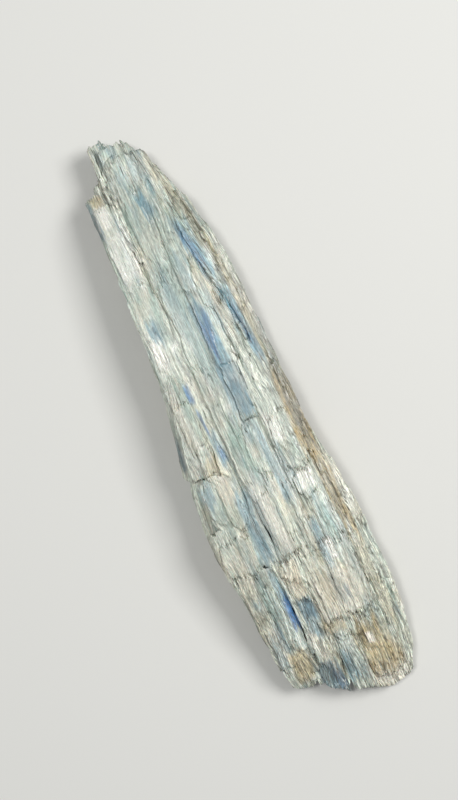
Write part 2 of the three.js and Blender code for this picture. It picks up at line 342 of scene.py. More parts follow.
@dataclass(frozen=True)
class Flake:
    """A thin plate left standing across the crystals where its neighbours have split away.

    Attributes:
        along: Where it starts and ends.
        across: Where its two sides run.
        height: How far it stands up.
        jag: How ragged its ends are.
        bow: How far its corners are cut back.
        seed: Which raggedness to use.
        tilt: How far it rises or falls for each millimetre across.
        bank: How wide the slope at its edge is.
        line: How wide the painted shadow at its foot and the painted highlight on its rim are.
        margin: How far past its stated ends and sides it may reach.
    """

    along: tuple[float, float]
    across: tuple[float, float]
    height: float = 0.5
    jag: float = 1.2
    bow: float = 0.6
    seed: float = 0.0
    tilt: float = 0.0
    bank: float = 0.2
    line: float = 0.4
    margin: tuple[float, float] = (6.0, 2.0)

    def inside(self, along: Array, across: Array) -> Array:
        """Finds how far inside the plate's outline each place lies, in millimetres, below 0 outside."""
        low_side, high_side = self.across
        wander = [fibre(along, np.zeros_like(along), 7, 1, self.seed + hand) for hand in (0, 1)]
        low = low_side + 0.6 * wander[0] + 0.25 * scatter(np.floor(along / 2.3))
        high = high_side + 0.6 * wander[1]
        middle = 0.5 * (low_side + high_side)
        side = np.clip(2 * (across - middle) / (high_side - low_side), -1, 1)
        splints, hairs = (scatter(np.floor(across / width), self.seed) for width in (1.3, 0.5))
        splinters = splints + 0.5 * hairs
        slant = 1.6 * side * scatter(self.seed)
        start = self.along[0] + self.jag * (splinters - 0.7 * slant) + self.bow * side * side
        end = self.along[1] + self.jag * (slant - splinters) - self.bow * side * side
        past_sides = np.minimum(across - low, high - across)
        return np.minimum(past_sides, np.minimum(along - start, end - along))


def scattered_flakes(count: int, first_seed: int) -> list[Flake]:
    """Scatters small plates where the cluster is most broken.

    Args:
        count: How many places to try.
        first_seed: The seed of the first one.

    Returns:
        The plates.
    """
    rng = np.random.default_rng(first_seed)
    flakes = []
    for number in range(count):
        start = rng.uniform(-112, 112)
        side = rng.uniform(-24, 30)
        length = rng.uniform(3, 15)
        width = rng.uniform(0.8, 3.4)
        chance = rng.uniform(0, 2.2)
        height = rng.uniform(0.2, 0.6)
        if chance < brokenness(np.array(start), np.array(side)) - 0.35:
            reach = (start, start + length)
            flakes.append(Flake(reach, (side, side + width), height, 0.9, 0.4, first_seed + number))
    return flakes


@dataclass(frozen=True)
class Rough:
    """A stretch of the cluster that is more broken, or smoother, than usual.

    Attributes:
        along: Where it starts and ends.
        across: Where it starts and ends.
        change: What it adds to the relief's strength.
        fade: How far in from its edges it reaches that.
    """

    along: tuple[float, float]
    across: tuple[float, float]
    change: float
    fade: float = 4.0

    def add(self, along: Array, across: Array) -> Array:
        """Gives what this stretch adds at each place."""
        change = self.change
        for place, (low, high) in ((along, self.along), (across, self.across)):
            change = change * smooth((place - low) / self.fade) * smooth((high - place) / self.fade)
        return change


ROUGHNESS = (
    Rough(along=(-125, -96), across=(-20, 12), change=0.15),
    Rough(along=(-108, -62), across=(-12.5, -5.5), change=0.8),
    Rough(along=(-112, 0), across=(9, 28), change=0.5),
    Rough(along=(-100, -40), across=(-20, -7.5), change=-0.2),
    Rough(along=(0, 62), across=(9, 34), change=0.3),
    Rough(along=(54, 125), across=(-28, 34), change=0.4),
    Rough(along=(84, 125), across=(-28, 34), change=0.2),
    Rough(along=(-30, 125), across=(20, 34), change=0.4),
    Rough(along=(56, 88), across=(0, 23), change=-0.35),
    Rough(along=(-110, -70), across=(-8, 6), change=-0.25),
    Rough(along=(15, 42), across=(-24, -8), change=-0.15),
)


USUAL_STRENGTH = 0.42  # the relief's strength where no stretch changes it


def brokenness(along: Array, across: Array) -> Array:
    """Gives the relief's strength at each design place."""
    return USUAL_STRENGTH + sum(stretch.add(along, across) for stretch in ROUGHNESS)


FLAKES = (
    # plates that bridge the blades of the narrow end
    Flake((-108, -66), (-5.5, 1.5), 0.3, 1.5, 3, 201),
    Flake((-97, -74), (5.5, 9.5), 0.35, 2, 1, 202),
    Flake((-93, -60), (-17.5, -8.8), 0.25, 0.6, 0.5, 199),
    Flake((-60, -20), (-6.2, 1), 0.3, 2.5, 1, 203),
    Flake((-62, -45), (9, 13.5), 0.4, 2, 1, 204),
    Flake((-44, -22), (10.5, 15.5), 0.5, 1.5, 1, 205),
    Flake((-32, -10), (11.5, 16), 0.45, 1.5, 1.5, 206),
    Flake((-96, -80), (0.5, 6.5), 0.3, 1.6, 1.5, 191),
    Flake((-72, -50), (1, 8), 0.3, 1.8, 1.5, 192),
    Flake((-58, -42), (7.5, 12.5), 0.4, 1.8, 1, 193),
    # the middle
    Flake((-14, -2), (8.5, 12.5), 0.4, 1.5, 1, 194),
    Flake((5, 24), (0.5, 6), 0.35, 1.6, 1, 195),
    Flake((26, 50), (1.5, 7), 0.3, 1.8, 1, 196),
    Flake((30, 45), (7.5, 11.5), 0.45, 1.5, 1, 198),
    Flake((46, 62), (8.5, 12.5), 0.45, 1.5, 1, 200),
    Flake((-12, 8), (-19.5, -12.5), 0.5, 1.2, 0.5, 207),
    Flake((6, 19), (-18, -11.5), 0.7, 1.2, 1, 208),
    Flake((-20, 2.5), (3.4, 9.3), 0.5, 0.5, 0.2, 197),
    Flake((-20, 18), (10.5, 17), 0.4, 2, 1, 209),
    Flake((4, 28), (11, 21.5), 0.6, 1.6, 2.2, 210),
    Flake((18, 40), (-16, -9.6), 0.6, 0.7, 3, 211),
    Flake((19, 36), (-22, -15), 0.35, 0.7, 3, 212),
    Flake((43, 57), (-25, -12.5), 0.6, 1.2, 0.5, 213),
    Flake((28, 39), (11.5, 18.5), 0.7, 0.8, 2, 214),
    Flake((39, 64), (14, 20.5), 0.35, 1.5, 1, 215),
    Flake((30, 57.5), (-4, 3.5), 0.35, 1.6, 0.5, 216),
    # the stepped wide end
    Flake((57, 67), (-7, 3.5), 0.9, 1.6, 0.5, 217),
    Flake((61, 74), (-6.5, -0.5), 0.8, 1.6, 0.8, 218),
    Flake((57, 90.5), (3, 21.5), 0.6, 1.4, -0.5, 216.5),
    Flake((59, 86.5), (1.5, 22), 1.0, 1.6, -2, 219),
    Flake((66, 80), (3, 11.5), 0.5, 1.2, 1.5, 220),
    Flake((60, 71), (8.5, 19), 0.4, 1.3, 1, 221),
    Flake((58, 76), (-23, -15), 0.55, 1.7, 1, 222),
    Flake((64, 90), (-16.5, -12.2), 0.6, 1.7, 1, 223),
    Flake((84, 104), (23, 28.5), 0.5, 1.6, 1, 235),
    Flake((58, 78), (22.5, 27), 0.45, 1.6, 1, 236),
    Flake((70, 84), (14, 20), 0.4, 1.4, 1, 237),
    Flake((87, 93.5), (0.5, 9.5), 0.7, 1.5, 1, 224),
    Flake((88, 96), (9, 20), 0.7, 1.7, 2, 225),
    Flake((84, 102), (-7, -1.5), 0.55, 1.6, 1, 226),
    Flake((90, 104), (13, 21), 0.6, 1.5, 1.5, 227),
    Flake((92, 110), (20, 26), 0.5, 1.4, 1.5, 228),
    Flake((101, 113), (10, 19), 0.5, 1.4, 1.5, 229),
    Flake((76, 98), (-21.5, -17), 0.45, 1.4, 1, 230),
    # the small facets that face the light
    Flake((56.5, 63.5), (13, 16), 0.35, 0.8, 0.6, 231, 0.23),
    Flake((96, 100.5), (13.2, 15.8), 0.3, 0.5, 0.6, 232, 0.3),
    Flake((-64, -59), (-18, -11), 0.2, 0.5, 2, 233, -0.08),
    Flake((-39, -27), (-17.6, -14.2), 0.25, 0.6, 1, 234, -0.06),
)


# ---------------------------------------------------------------- blades


@dataclass(frozen=True)
class Break:
    """How a blade's end is broken.

    Attributes:
        cut_back: How far its corners are cut back.
        slant: How far one side runs past the other.
        jag: How far its splinters run past each other.
    """

    cut_back: float = 0.0
    slant: float = 0.0
    jag: float = 0.6

    def reach(self, side: Array, out: Array, seed: float) -> Array:
        """Finds how far the end runs past the blade's stated length.

        Args:
            side: Places across the blade, from -1 to 1.
            out: The same places in millimetres.
            seed: Which splinters to use.

        Returns:
            The reach in millimetres.
        """
        lane = out / 1.6 + 0.4 * np.sin(out + seed)
        point = 1 - 2 * np.abs(lane - np.floor(lane) - 0.5)
        splinters = scatter(np.floor(lane), seed) + 0.5 * scatter(np.floor(out / 0.55), seed + 0.3)
        wide = scatter(np.floor(out / 3.7 + seed), seed + 0.7)
        ragged = self.jag * (splinters + wide + 0.8 * point)
        return -self.cut_back * side * side + self.slant * side + ragged


@dataclass(frozen=True)
class Blade:
    """One flat crystal. Its three-number measures are at its first end, its middle and its last end.

    Attributes:
        along: Where it starts and ends along the cluster.
        across: Where the middle of its face runs.
        width: How wide its face is.
        top: How high the middle of its face lies.
        thick: How thick it is.
        roll: The way its face looks: 0 up, 90 to the laminated edge, 180 down.
        first: How its first end is broken.
        last: How its last end is broken.
        tone: How much lighter it is than its neighbours. Set below 0 on the back tips and the
            flank, it is painted shade, which on the flank goes with a darker iron stain.
        undercut: How much shorter its hidden face is at each end.
    """

    along: tuple[float, float]
    across: Triple
    width: Triple
    top: Triple
    thick: float | Triple = 6.0
    roll: float = 0.0
    first: Break = Break()
    last: Break = Break()
    tone: float = 0.0
    undercut: float = 0.0


@dataclass(frozen=True)
class Sampling:
    """How finely a blade is modelled.

    Attributes:
        column: The width of a strip of the face.
        row: The length of a strip of the face.
        wall: The height of a strip of a side.
    """

    column: float = 0.3
    row: float = 0.7
    wall: float = 0.6

    def strips(self, blade: Blade) -> tuple[int, int, int]:
        """Counts the strips that a blade is divided into.

        Args:
            blade: The blade.

        Returns:
            The number along it, across its face and down a side.
        """
        thick = max(blade.thick) if isinstance(blade.thick, tuple) else blade.thick
        return (
            max(8, round((blade.along[1] - blade.along[0]) / self.row)),
            max(6, round(max(blade.width) / self.column)),
            max(3, round(thick / self.wall)),
        )


LEVEL = 12.0  # a blade rolled further than this splits along its own length, not with its neighbours
FACING_UP = 60.0  # a blade rolled further than this is part of a side or of the underside
SHEETS_APART = 53.1  # how far aside each further blade on a side reads the pattern of the plates
GRAIN_APART = 61.0  # how far aside each further blade reads the grain
FULL_WIDTH = 0.999  # past this share of a blade's half width, a place is on its side
DEEPEST = 0.6  # how much of a blade's thickness its steps may cut away
WELD = 0.002  # vertices closer than this many millimetres are one
ALL_FLAKES = (*FLAKES, *scattered_flakes(900, 300))


@dataclass
class BladeMesh:
    """Makes one blade's closed mesh from a flat grid that is wrapped round it.

    Attributes:
        blade: The blade.
        seed: Its own number, which shifts every pattern on it.
        sampling: How finely it is modelled.
        relief: The steps on its face.
        belly: How much narrower the hidden face is.
        crown: How far the face stands proud in its middle.
        chamfer: How far in from an edge the face starts to drop.
        lean: How far a broken end slopes out for each millimetre down.
        ledge: How far the sheets stand out of a side.
        proud: How far a whole sheet stands over the blade's stated face.
        rim_drop: How far the face drops at its edges.
        lip: How far in from a broken end the face starts to drop.
        lip_drop: How far it drops there.
        under: How far down a side the face's steps still show, as a share of it.
        layer: How thick a layer in a side is.
        cap_rows: The number of strips from a broken end's rim to its middle.
    """

    blade: Blade
    seed: int
    sampling: Sampling = Sampling()
    relief: Relief = Relief()
    belly: float = 0.82
    crown: float = 0.26
    chamfer: float = 0.26
    lean: float = 0.12
    ledge: float = 0.22
    proud: float = 0.15
    rim_drop: float = 0.24
    lip: float = 0.6
    lip_drop: float = 0.16
    under: float = 0.25
    layer: float = 0.55
    cap_rows: int = 2

    def build(self) -> bpy.types.Mesh:
        """Builds the blade.

        Returns:
            A closed mesh with its attributes and UV maps.
        """
        rows, face, side = self.sampling.strips(self.blade)
        all_rows = rows + 2 * self.cap_rows
        around = 2 * face + 2 * side
        mesh = bpy.data.meshes.new("blade")
        shell = bmesh.new()
        bmesh.ops.create_grid(shell, x_segments=all_rows, y_segments=around, size=1)
        shell.to_mesh(mesh)
        shell.free()
        flat = np.zeros(len(mesh.vertices) * 3)
        mesh.vertices.foreach_get("co", flat)
        flat = flat.reshape(-1, 3)
        row = np.rint((flat[:, 0] + 1) / 2 * all_rows) - self.cap_rows
        ring = np.rint((flat[:, 1] + 1) / 2 * around)
        self._shape(mesh, row / rows, ring)
        self._close(mesh)
        return mesh

    def _shape(self, mesh: bpy.types.Mesh, share: Array, ring: Array) -> None:
        """Wraps the grid round the blade and stores what its finish reads.

        Args:
            mesh: The grid.
            share: How far along the blade each vertex is, below 0 and over 1 on the broken ends.
            ring: How far round it each vertex is, in strips.
        """
        blade = self.blade
        rows, face, side = self.sampling.strips(blade)
        corners = np.array([0, face, face + side, 2 * face + side, 2 * face + 2 * side])
        edge = np.interp(ring, corners, [-1, 1, 1, -1, -1])
        down = np.interp(ring, corners, [0, 0, 1, 1, 0])
        beyond = np.maximum(np.maximum(-share, share - 1), 0) * rows / self.cap_rows
        share = np.clip(share, 0, 1)
        down = down + (0.5 - down) * beyond
        half = through(blade.width, share) / 2 * (1 - (1 - self.belly) * down)
        nominal = blade.along[0] + (blade.along[1] - blade.along[0]) * share
        out = edge * half * self._waver(nominal, edge, half)
        thick = through(blade.thick, share) if isinstance(blade.thick, tuple) else blade.thick
        depth = down * thick
        slope = self.lean * depth - blade.undercut * down
        start = blade.along[0] - blade.first.reach(edge, out, self.seed) - slope
        end = blade.along[1] + blade.last.reach(edge, out, self.seed + 0.5) + slope
        along = start + (end - start) * share
        across = through(blade.across, share)
        shown = np.clip(1 - down / self.under, 0, 1)
        strength = brokenness(along, across + out)
        level = abs(blade.roll) < LEVEL
        place = across + out if level else out + SHEETS_APART * self.seed
        steps, sheet, lines = self.relief.carve(along, out, place, strength, self.seed)
        broken_rim = smooth(0.5 + 1.3 * fibre(along, 5 * np.sign(edge), 7, 1, self.seed))
        rim = np.clip(1 - (half - np.abs(out)) / self.chamfer, 0, 1) * broken_rim
        lip = np.clip(1 - np.minimum(along - start, end - along) / self.lip, 0, 1)
        drop = self.rim_drop * rim
        sink = steps + self.crown * edge * edge + drop + self.lip_drop * lip * lip - self.proud
        # The blade's chamfered edges and its broken ends are painted darker, as shade.
        lines = lines * shown + 0.42 * rim + 0.25 * lip
        layer = np.floor(depth / self.layer + 0.8 * np.sin(along / 23 + self.seed))
        split = scatter(layer, np.floor(along / 19 + scatter(layer, self.seed)), self.seed)
        on_side = np.abs(edge) > FULL_WIDTH
        out = out + edge * on_side * self.ledge * split * strength * (1 - beyond)
        roll = math.radians(blade.roll)
        if abs(blade.roll) < FACING_UP:
            self._stand(along, across + out * math.cos(roll), sink, sheet, lines)
        sink = np.minimum(sink, DEEPEST * thick)
        depth = depth + sink * shown
        t = across + out * math.cos(roll) - depth * math.sin(roll)
        z = through(blade.top, share) - out * math.sin(roll) - depth * math.cos(roll)
        mesh.vertices.foreach_set("co", AXES.place(along, t, np.maximum(z, 0)).ravel())
        # Each sheet's random brightness, with the blade's own, which on the back tips and the flank is
        # painted shade.
        tone = sheet * shown + split * (1 - shown) + 1.2 * blade.tone + 0.3 * scatter(self.seed, 5)
        # Painted shade in the seams, the cracks and at the steps' feet, more where the steps are cut
        # deeper; below 0, painted highlights on the rims.
        painted_shade_and_highlight = np.clip(lines + 0.1 * np.maximum(steps, 0) * shown, -1, 1)
        torn = np.clip(0.3 + 0.75 * strength, 0.4, 1.1)
        marks = {"tone": tone, "painted_shade_and_highlight": painted_shade_and_highlight, "torn": torn}
        marks |= {pigment.value: amount for pigment, amount in stains(along, t).items()}
        for name, values in marks.items():
            self._store(mesh, name, values)
        bend = 0.9 * fibre(along, out, 14, 4, self.seed)
        bend = bend + 0.4 * fibre(along, out, 4.5, 1.8, self.seed + 1)
        self._map(mesh, along, ring, bend)

    def _waver(self, along: Array, edge: Array, half: Array) -> Array:
        """Finds how much wider or narrower than stated the blade is at each place.

        Args:
            along: Places along the cluster.
            edge: Places across the blade, from -1 to 1.
            half: Half of the blade's stated width.

        Returns:
            The width's factor.
        """
        hand = np.sign(edge)
        long_wave = fibre(along, 3 * hand, 21, 1, self.seed)
        short_wave = fibre(along, 3 * hand, 4.5, 1, self.seed + 1)
        notch = scatter(np.floor(along / 3.1), hand, self.seed)
        shift = 0.6 * long_wave + 0.32 * short_wave + 0.16 * notch
        return 1 + shift * edge * edge / np.maximum(half, 1.2)

    def _stand(self, along: Array, across: Array, sink: Array, sheet: Array, lines: Array) -> None:
        """Stands the flakes on the blade.

        Args:
            along: Places along the cluster.
            across: Places across it.
            sink: How deep the blade's face lies there, changed where a flake stands.
            sheet: How bright its sheets are, changed likewise.
            lines: The painted shade and highlights at the sheets' edges, changed likewise.
        """
        for flake in ALL_FLAKES:
            past_ends, past_sides = flake.margin
            near = (along > flake.along[0] - past_ends) & (along < flake.along[1] + past_ends)
            near &= (across > flake.across[0] - past_sides) & (across < flake.across[1] + past_sides)
            if not near.any():
                continue
            deep = flake.inside(along[near], across[near])
            cover = smooth(deep / flake.bank)
            aside = across[near] - 0.5 * (flake.across[0] + flake.across[1])
            side = np.sign(aside)
            sink[near] += cover * (flake.tilt * aside - flake.height - 0.5 * sink[near])
            ends = (along[near] < flake.along[0] + 2) | (along[near] > flake.along[1] - 2)
            open_side = smooth(0.45 + 1.2 * fibre(along[near], 3 * side, 7, 1, flake.seed))
            shown = np.maximum(ends, open_side)
            # A painted shadow at the flake's foot, on its ends and open sides, and a painted highlight on
            # its rim.
            foot = (0.4 + flake.height) * np.clip(1.2 + deep / flake.line, 0, 1) * (deep < 0) * shown
            rim = -0.7 * np.clip(1 - deep / flake.line, 0, 1) * cover
            on_top = lines[near] * (1 - 0.5 * cover) + rim
            lines[near] = np.where(cover > 0, on_top, np.maximum(lines[near], foot))
            sheet[near] = sheet[near] * (1 - 0.4 * cover) + 0.4 * scatter(flake.seed) * cover

    def _store(self, mesh: bpy.types.Mesh, name: str, values: Array) -> None:
        """Stores one number for each vertex under a name that the finish reads."""
        layer = mesh.attributes.new(name, "FLOAT", "POINT")
        layer.data.foreach_set("value", values.astype(np.float32))

    def _map(self, mesh: bpy.types.Mesh, along: Array, ring: Array, bend: Array) -> None:
        """Lays the blade's skin out flat, once in millimetres for its grain and once as a strip.

        Args:
            mesh: The wrapped grid.
            along: Each vertex's place along the cluster.
            ring: Each vertex's place round the blade, in strips.
            bend: How far the grain wanders aside there, in millimetres.
        """
        corner = np.zeros(len(mesh.loops), np.int32)
        mesh.loops.foreach_get("vertex_index", corner)
        aside = ring * self.sampling.column + GRAIN_APART * self.seed + bend
        grain = np.stack([along[corner], aside[corner]], axis=-1)
        strip = np.stack([along[corner], ring[corner]], axis=-1)
        for name, places in ((GRAIN_UV, grain), (BAKE_UV, strip)):
            layer = mesh.uv_layers.new(name=name)
            layer.data.foreach_set("uv", places.ravel().astype(np.float32))

    def _close(self, mesh: bpy.types.Mesh) -> None:
        """Welds the seam and the broken ends, so that the skin is closed and faces outwards."""
        shell = bmesh.new()
        shell.from_mesh(mesh)
        bmesh.ops.remove_doubles(shell, verts=shell.verts, dist=WELD * MM)
        bmesh.ops.recalc_face_normals(shell, faces=shell.faces)
        shell.to_mesh(mesh)
        shell.free()


# ---------------------------------------------------------------- colours in the crystal


class Pigment(Enum):
    """What colours the crystal, named as the attributes that carry it."""

    STEEL = "steel"
    DEEP = "deep"
    IRON = "iron"
    # also paints glare on the bright plate and glints on two small facets
    PEARL_AND_GLARE = "pearl_and_glare"
    GREEN = "green"
    BLUSH = "blush"
    # also paints shade in a hollow and at the foot of a ridge
    SLATE_AND_SHADE = "slate_and_shade"


@dataclass(frozen=True)
class Streak:
    """A band of colour that runs with the blades and frays out at its ends.

    Attributes:
        along: Where it starts and ends.
        across: Where its middle runs, at its first end, middle and last end.
        width: How wide it is at its middle.
        strength: How strong the colour is.
        fray: How far its ends fade.
    """

    along: tuple[float, float]
    across: Triple
    width: float
    strength: float = 1.0
    fray: float = 7.0

    def cover(self, along: Array, across: Array) -> Array:
        """Gives how strongly the band colours each place, from 0 to its strength."""
        span = self.along[1] - self.along[0]
        frayed = along + self.fray * 0.6 * fibre(along, across, 30, 0.7, self.along[0])
        share = np.clip((frayed - self.along[0]) / span, 0, 1)
        middle = through(self.across, share)
        waver = 0.22 * self.width * fibre(along, across, 14, 1.1, self.width)
        aside = np.abs(across - middle + waver) / (0.5 * self.width)
        body = smooth((1.25 - aside) / 0.7)
        ends = smooth((frayed - self.along[0]) / self.fray)
        ends = ends * smooth((self.along[1] - frayed) / self.fray)
        worn = 0.82 + 0.18 * fibre(along, across, 5, 1.3, self.along[1])
        return self.strength * body * ends * worn


# each pigment's bands, roughly from the narrow end to the wide one
STREAKS = {
    Pigment.STEEL: (
        Streak((-117, -108), (-3, -2, -1), 4, 0.6, 3),
        Streak((-99, -80), (0.6, 2.2, 4), 5, 1.0),
        Streak((-54, -28), (9, 9.6, 10), 4, 0.5, 6),
        Streak((-82, -50), (8.6, 12.2, 15), 4.6, 1.0),
        Streak((-52, -14), (15.2, 18, 20), 4.6, 1.0),
        Streak((-98, -82), (-2, 0, 2), 8, 0.35, 8),
        Streak((-70, -10), (-4, -2, 0), 6, 0.4, 12),
        Streak((-49, -32), (-13.8, -13.6, -13.2), 4.6, 1.0),
        Streak((-50, -12), (5, 5.2, 5.5), 6, 1.0, 9),
        Streak((-26, 3), (5.4, 5.6, 6.2), 8, 1.0, 4),
        Streak((0, 17), (-9.4, -9.4, -9), 3.2, 0.9, 4),
        Streak((17, 31), (-19.5, -20, -20), 5, 0.75, 5),
        Streak((4, 40), (6.6, 7, 7.4), 4.4, 0.75),
        Streak((18, 32), (0, 0, 0), 5, 0.4, 6),
        Streak((24, 60), (-9, -9.3, -9.3), 7, 0.85, 5),
        Streak((44, 70), (12, 12, 12), 3, 0.8, 5),
        Streak((72, 92), (-3, -2.7, -3), 5.5, 0.8, 4),
        Streak((58, 84), (-10.3, -10.2, -9.8), 3, 0.8, 6),
        Streak((80, 101), (-20.5, -20, -19), 5, 0.55, 5),
        Streak((66, 74), (-20, -20, -20), 3, 0.6, 4),
        Streak((76, 94), (-17, -16.6, -16.4), 3.4, 0.7, 4),
        Streak((98, 114), (3, 3.4, 4), 4.4, 0.8, 4),
    ),
    Pigment.DEEP: (
        Streak((-78, -54), (10, 12.2, 14.4), 2.6, 0.45),
        Streak((-42, -20), (16.5, 18, 19.4), 2.2, 0.45),
        Streak((-44, -21), (5, 5, 5.2), 4.2, 0.75, 8),
        Streak((-20, -9), (-11.2, -11.2, -11), 2, 0.9, 3),
        Streak((-10, 4), (-11, -10.8, -10.4), 1.6, 0.8, 4),
        Streak((7, 15), (-9.2, -9, -8.7), 2, 0.7, 3),
        Streak((64, 86), (-9.2, -9.1, -8.8), 2.2, 0.7, 7),
        Streak((69, 85), (-9.4, -9.1, -8.8), 3, 1.0, 3),
        Streak((104, 115), (-3, -2.4, -1.4), 3, 0.3, 3),
    ),
    Pigment.IRON: (
        Streak((-100, -93), (-14.5, -14.5, -14.5), 5, 0.7, 2),
        Streak((-104, -30), (10.5, 17.8, 22), 4.6, 0.45),
        Streak((-20, 12), (-17.5, -18, -18.5), 4, 0.4),
        Streak((8, 19), (-14, -14.5, -16), 6, 0.6, 4),
        Streak((-72, -8), (18.6, 20.4, 22.4), 1.8, 0.6, 10),
        Streak((-16, 38), (22, 22.8, 24), 6.5, 1.0, 10),
        Streak((22, 64), (24.4, 24.8, 25), 5.5, 0.9, 10),
        Streak((58, 104), (24.6, 25, 26), 5, 0.45, 10),
        Streak((57, 76), (-3.6, -3.2, -3), 7, 0.2, 4),
        Streak((64, 84), (5.5, 6.5, 7), 8, 0.3, 6),
        Streak((89, 107), (-12.6, -13.4, -15), 8, 0.85, 4),
        Streak((84, 93), (2, 3, 5), 9, 0.6, 4),
        Streak((87, 117), (14.5, 17, 18), 14, 0.85, 7),
        Streak((24, 36), (-23.4, -24, -24.6), 3, 0.3, 4),
    ),
    Pigment.PEARL_AND_GLARE: (
        Streak((-109, -94), (1, 2, 3), 4, 0.35, 5),
        # painted glare on the bright plate along the plain edge, in this band and the next three
        Streak((-95.5, -84), (-14.5, -14.3, -14.2), 5.5, 0.95, 2),
        Streak((-88, -56), (-13.6, -13.2, -12.6), 9.5, 0.7, 8),
        Streak((-80, -62), (-15.8, -15.6, -15.6), 4, 1.0, 4),
        Streak((-41, -25), (-15.9, -15.7, -16.2), 5, 1.0, 4),
        Streak((-36, -31), (-9.5, -8.8, -8.5), 3.5, 0.9, 3),
        Streak((-22, 20), (-19, -19, -20), 8, 0.45, 6),
        Streak((12, 40), (10, 10.2, 10.4), 3, 0.4, 6),
        Streak((3, 18), (12.4, 13, 13.4), 5, 0.8, 4),
        Streak((27, 37), (15.4, 15.8, 16.4), 7, 1.0, 3),
        Streak((40, 66), (20.6, 20.8, 21), 3, 0.45, 6),
        # a painted glint on a small facet
        Streak((55, 65), (14.6, 14.6, 14.6), 3.6, 1.0, 1),
        Streak((22, 58), (-3.5, -1.6, 0), 5, 0.55, 9),
        Streak((-70, -12), (21.4, 23, 24.4), 1.8, 0.6, 8),
        Streak((78, 88), (11, 12, 13), 8, 0.3, 4),
        Streak((113, 121), (14, 17, 20), 14, 0.5, 3),
        # a painted glint on a small facet in the stained lobe
        Streak((95.5, 101), (14.5, 14.5, 14.5), 2.6, 1.0, 1),
    ),
    Pigment.GREEN: (
        Streak((-98, -8), (-1, 1, 2), 15, 0.55, 12),
        Streak((-82, -66), (-3, -2, -1), 8, 0.5, 5),
        Streak((-96, -20), (8, 14, 17), 7, 0.5, 10),
        Streak((-62, -36), (-12.4, -12, -12), 8.5, 0.8),
        Streak((-24, 0), (-14, -12.6, -12), 5, 0.7),
        Streak((26, 42), (-15, -15, -15), 8, 0.8, 5),
        Streak((-2, 26), (-2, -2, -1.6), 6, 1.0, 6),
        Streak((12, 26), (14.6, 15, 15.4), 7, 0.7, 4),
        Streak((40, 60), (17.4, 17.6, 17.8), 5, 0.75, 5),
        Streak((58, 82), (-19, -19, -18), 8, 0.7, 5),
    ),
    Pigment.BLUSH: (
        Streak((-82, -66), (-1, 0, 1), 7, 0.5),
        Streak((-60, -34), (9.5, 11.5, 13), 5, 0.8),
        Streak((16, 34), (-13.6, -13, -13), 5, 0.9, 4),
        Streak((24, 60), (-3, -1, 1), 7, 0.6, 9),
        Streak((44, 100), (-20, -20, -18), 7, 0.8, 9),
        Streak((56, 76), (-3.6, -3.2, -3), 8, 0.9, 4),
        Streak((64, 90), (6, 8, 10), 12, 0.8, 6),
        Streak((62, 88), (14, 16, 18), 11, 0.85, 6),
        Streak((106, 125), (15, 17, 18), 16, 0.9, 6),
    ),
    Pigment.SLATE_AND_SHADE: (
        # painted shade in the hollow at the narrow end
        Streak((-118, -106), (-7.5, -6.5, -5.5), 3.4, 0.5, 3),
        Streak((-94, -28), (-2.5, -0.5, 0), 10, 0.26, 12),
        Streak((-109, -90), (-5.8, -5.4, -5), 3, 0.35, 6),
        Streak((-101, -79), (-18.5, -17.8, -17.6), 2.4, 0.9, 4),
        Streak((-47, -33), (-13.8, -13.6, -13.3), 4, 0.35, 4),
        Streak((-45, -39), (-13.7, -13.6, -13.5), 1.3, 0.8, 2),
        Streak((-69, -60), (-17, -16.6, -16.2), 0.8, 0.9, 2),
        Streak((-30, 2), (5, 5.4, 5.8), 7, 0.42, 9),
        Streak((-3, 14), (-23.2, -24, -24.8), 2.4, 0.9, 3),
        Streak((34, 58), (-8.5, -9, -9.3), 5.6, 0.4, 8),
        Streak((-16, 26), (21.6, 22.8, 23.4), 4.4, 0.4, 10),
        Streak((22, 70), (23.6, 24, 24.6), 2.4, 0.3, 10),
        Streak((73, 84), (-3, -2.8, -3), 5.5, 0.85, 2.5),
        # painted shade at the foot of the ridge
        Streak((66, 85), (-8.7, -8.5, -8.2), 1.5, 0.8, 3),
        Streak((66, 84), (10.5, 11, 11.6), 3.4, 0.4, 5),
        Streak((89, 110), (4.6, 5, 5.2), 6, 0.42, 5),
        Streak((88, 100), (-9.5, -9.2, -9), 3.4, 0.45, 4),
        Streak((77, 88), (-16, -15.8, -15.6), 1.6, 0.7, 4),
        Streak((99, 119), (-5.4, -4.6, -3.4), 8.6, 1.0, 3),
        Streak((104, 116), (8, 8, 8), 3, 0.5, 4),
        Streak((74, 82), (13.6, 13.8, 14.2), 1.6, 0.8, 2.5),
        Streak((90, 98), (28.6, 28.6, 28.6), 1.6, 0.6, 3),
    ),
}


@dataclass(frozen=True)
class Mottle:
    """Soft uneven patches of one colour all over the crystals.

    Attributes:
        length: How long a patch is.
        width: How wide it is.
        share: How much of the crystals it covers, from 0 to 1.
        strength: How strong it gets.
        wide_end: How strong it is at the wide end, as a share of that.
        seed: Which patches to use.
    """

    length: float
    width: float
    share: float
    strength: float
    wide_end: float
    seed: float

    def cover(self, along: Array, across: Array) -> Array:
        """Gives how strongly the patches colour each place."""
        broad = fibre(along, across, self.length, self.width, self.seed)
        frayed = fibre(along, across, 0.3 * self.length, 0.3 * self.width, self.seed + 1)
        feathery = fibre(along, across, 5, 0.7, self.seed + 2)
        strength = self.strength * (1 + (self.wide_end - 1) * smooth((along - 20) / 60))
        return strength * smooth((broad + 0.5 * frayed + 0.25 * feathery + 2 * self.share - 1) / 0.9)


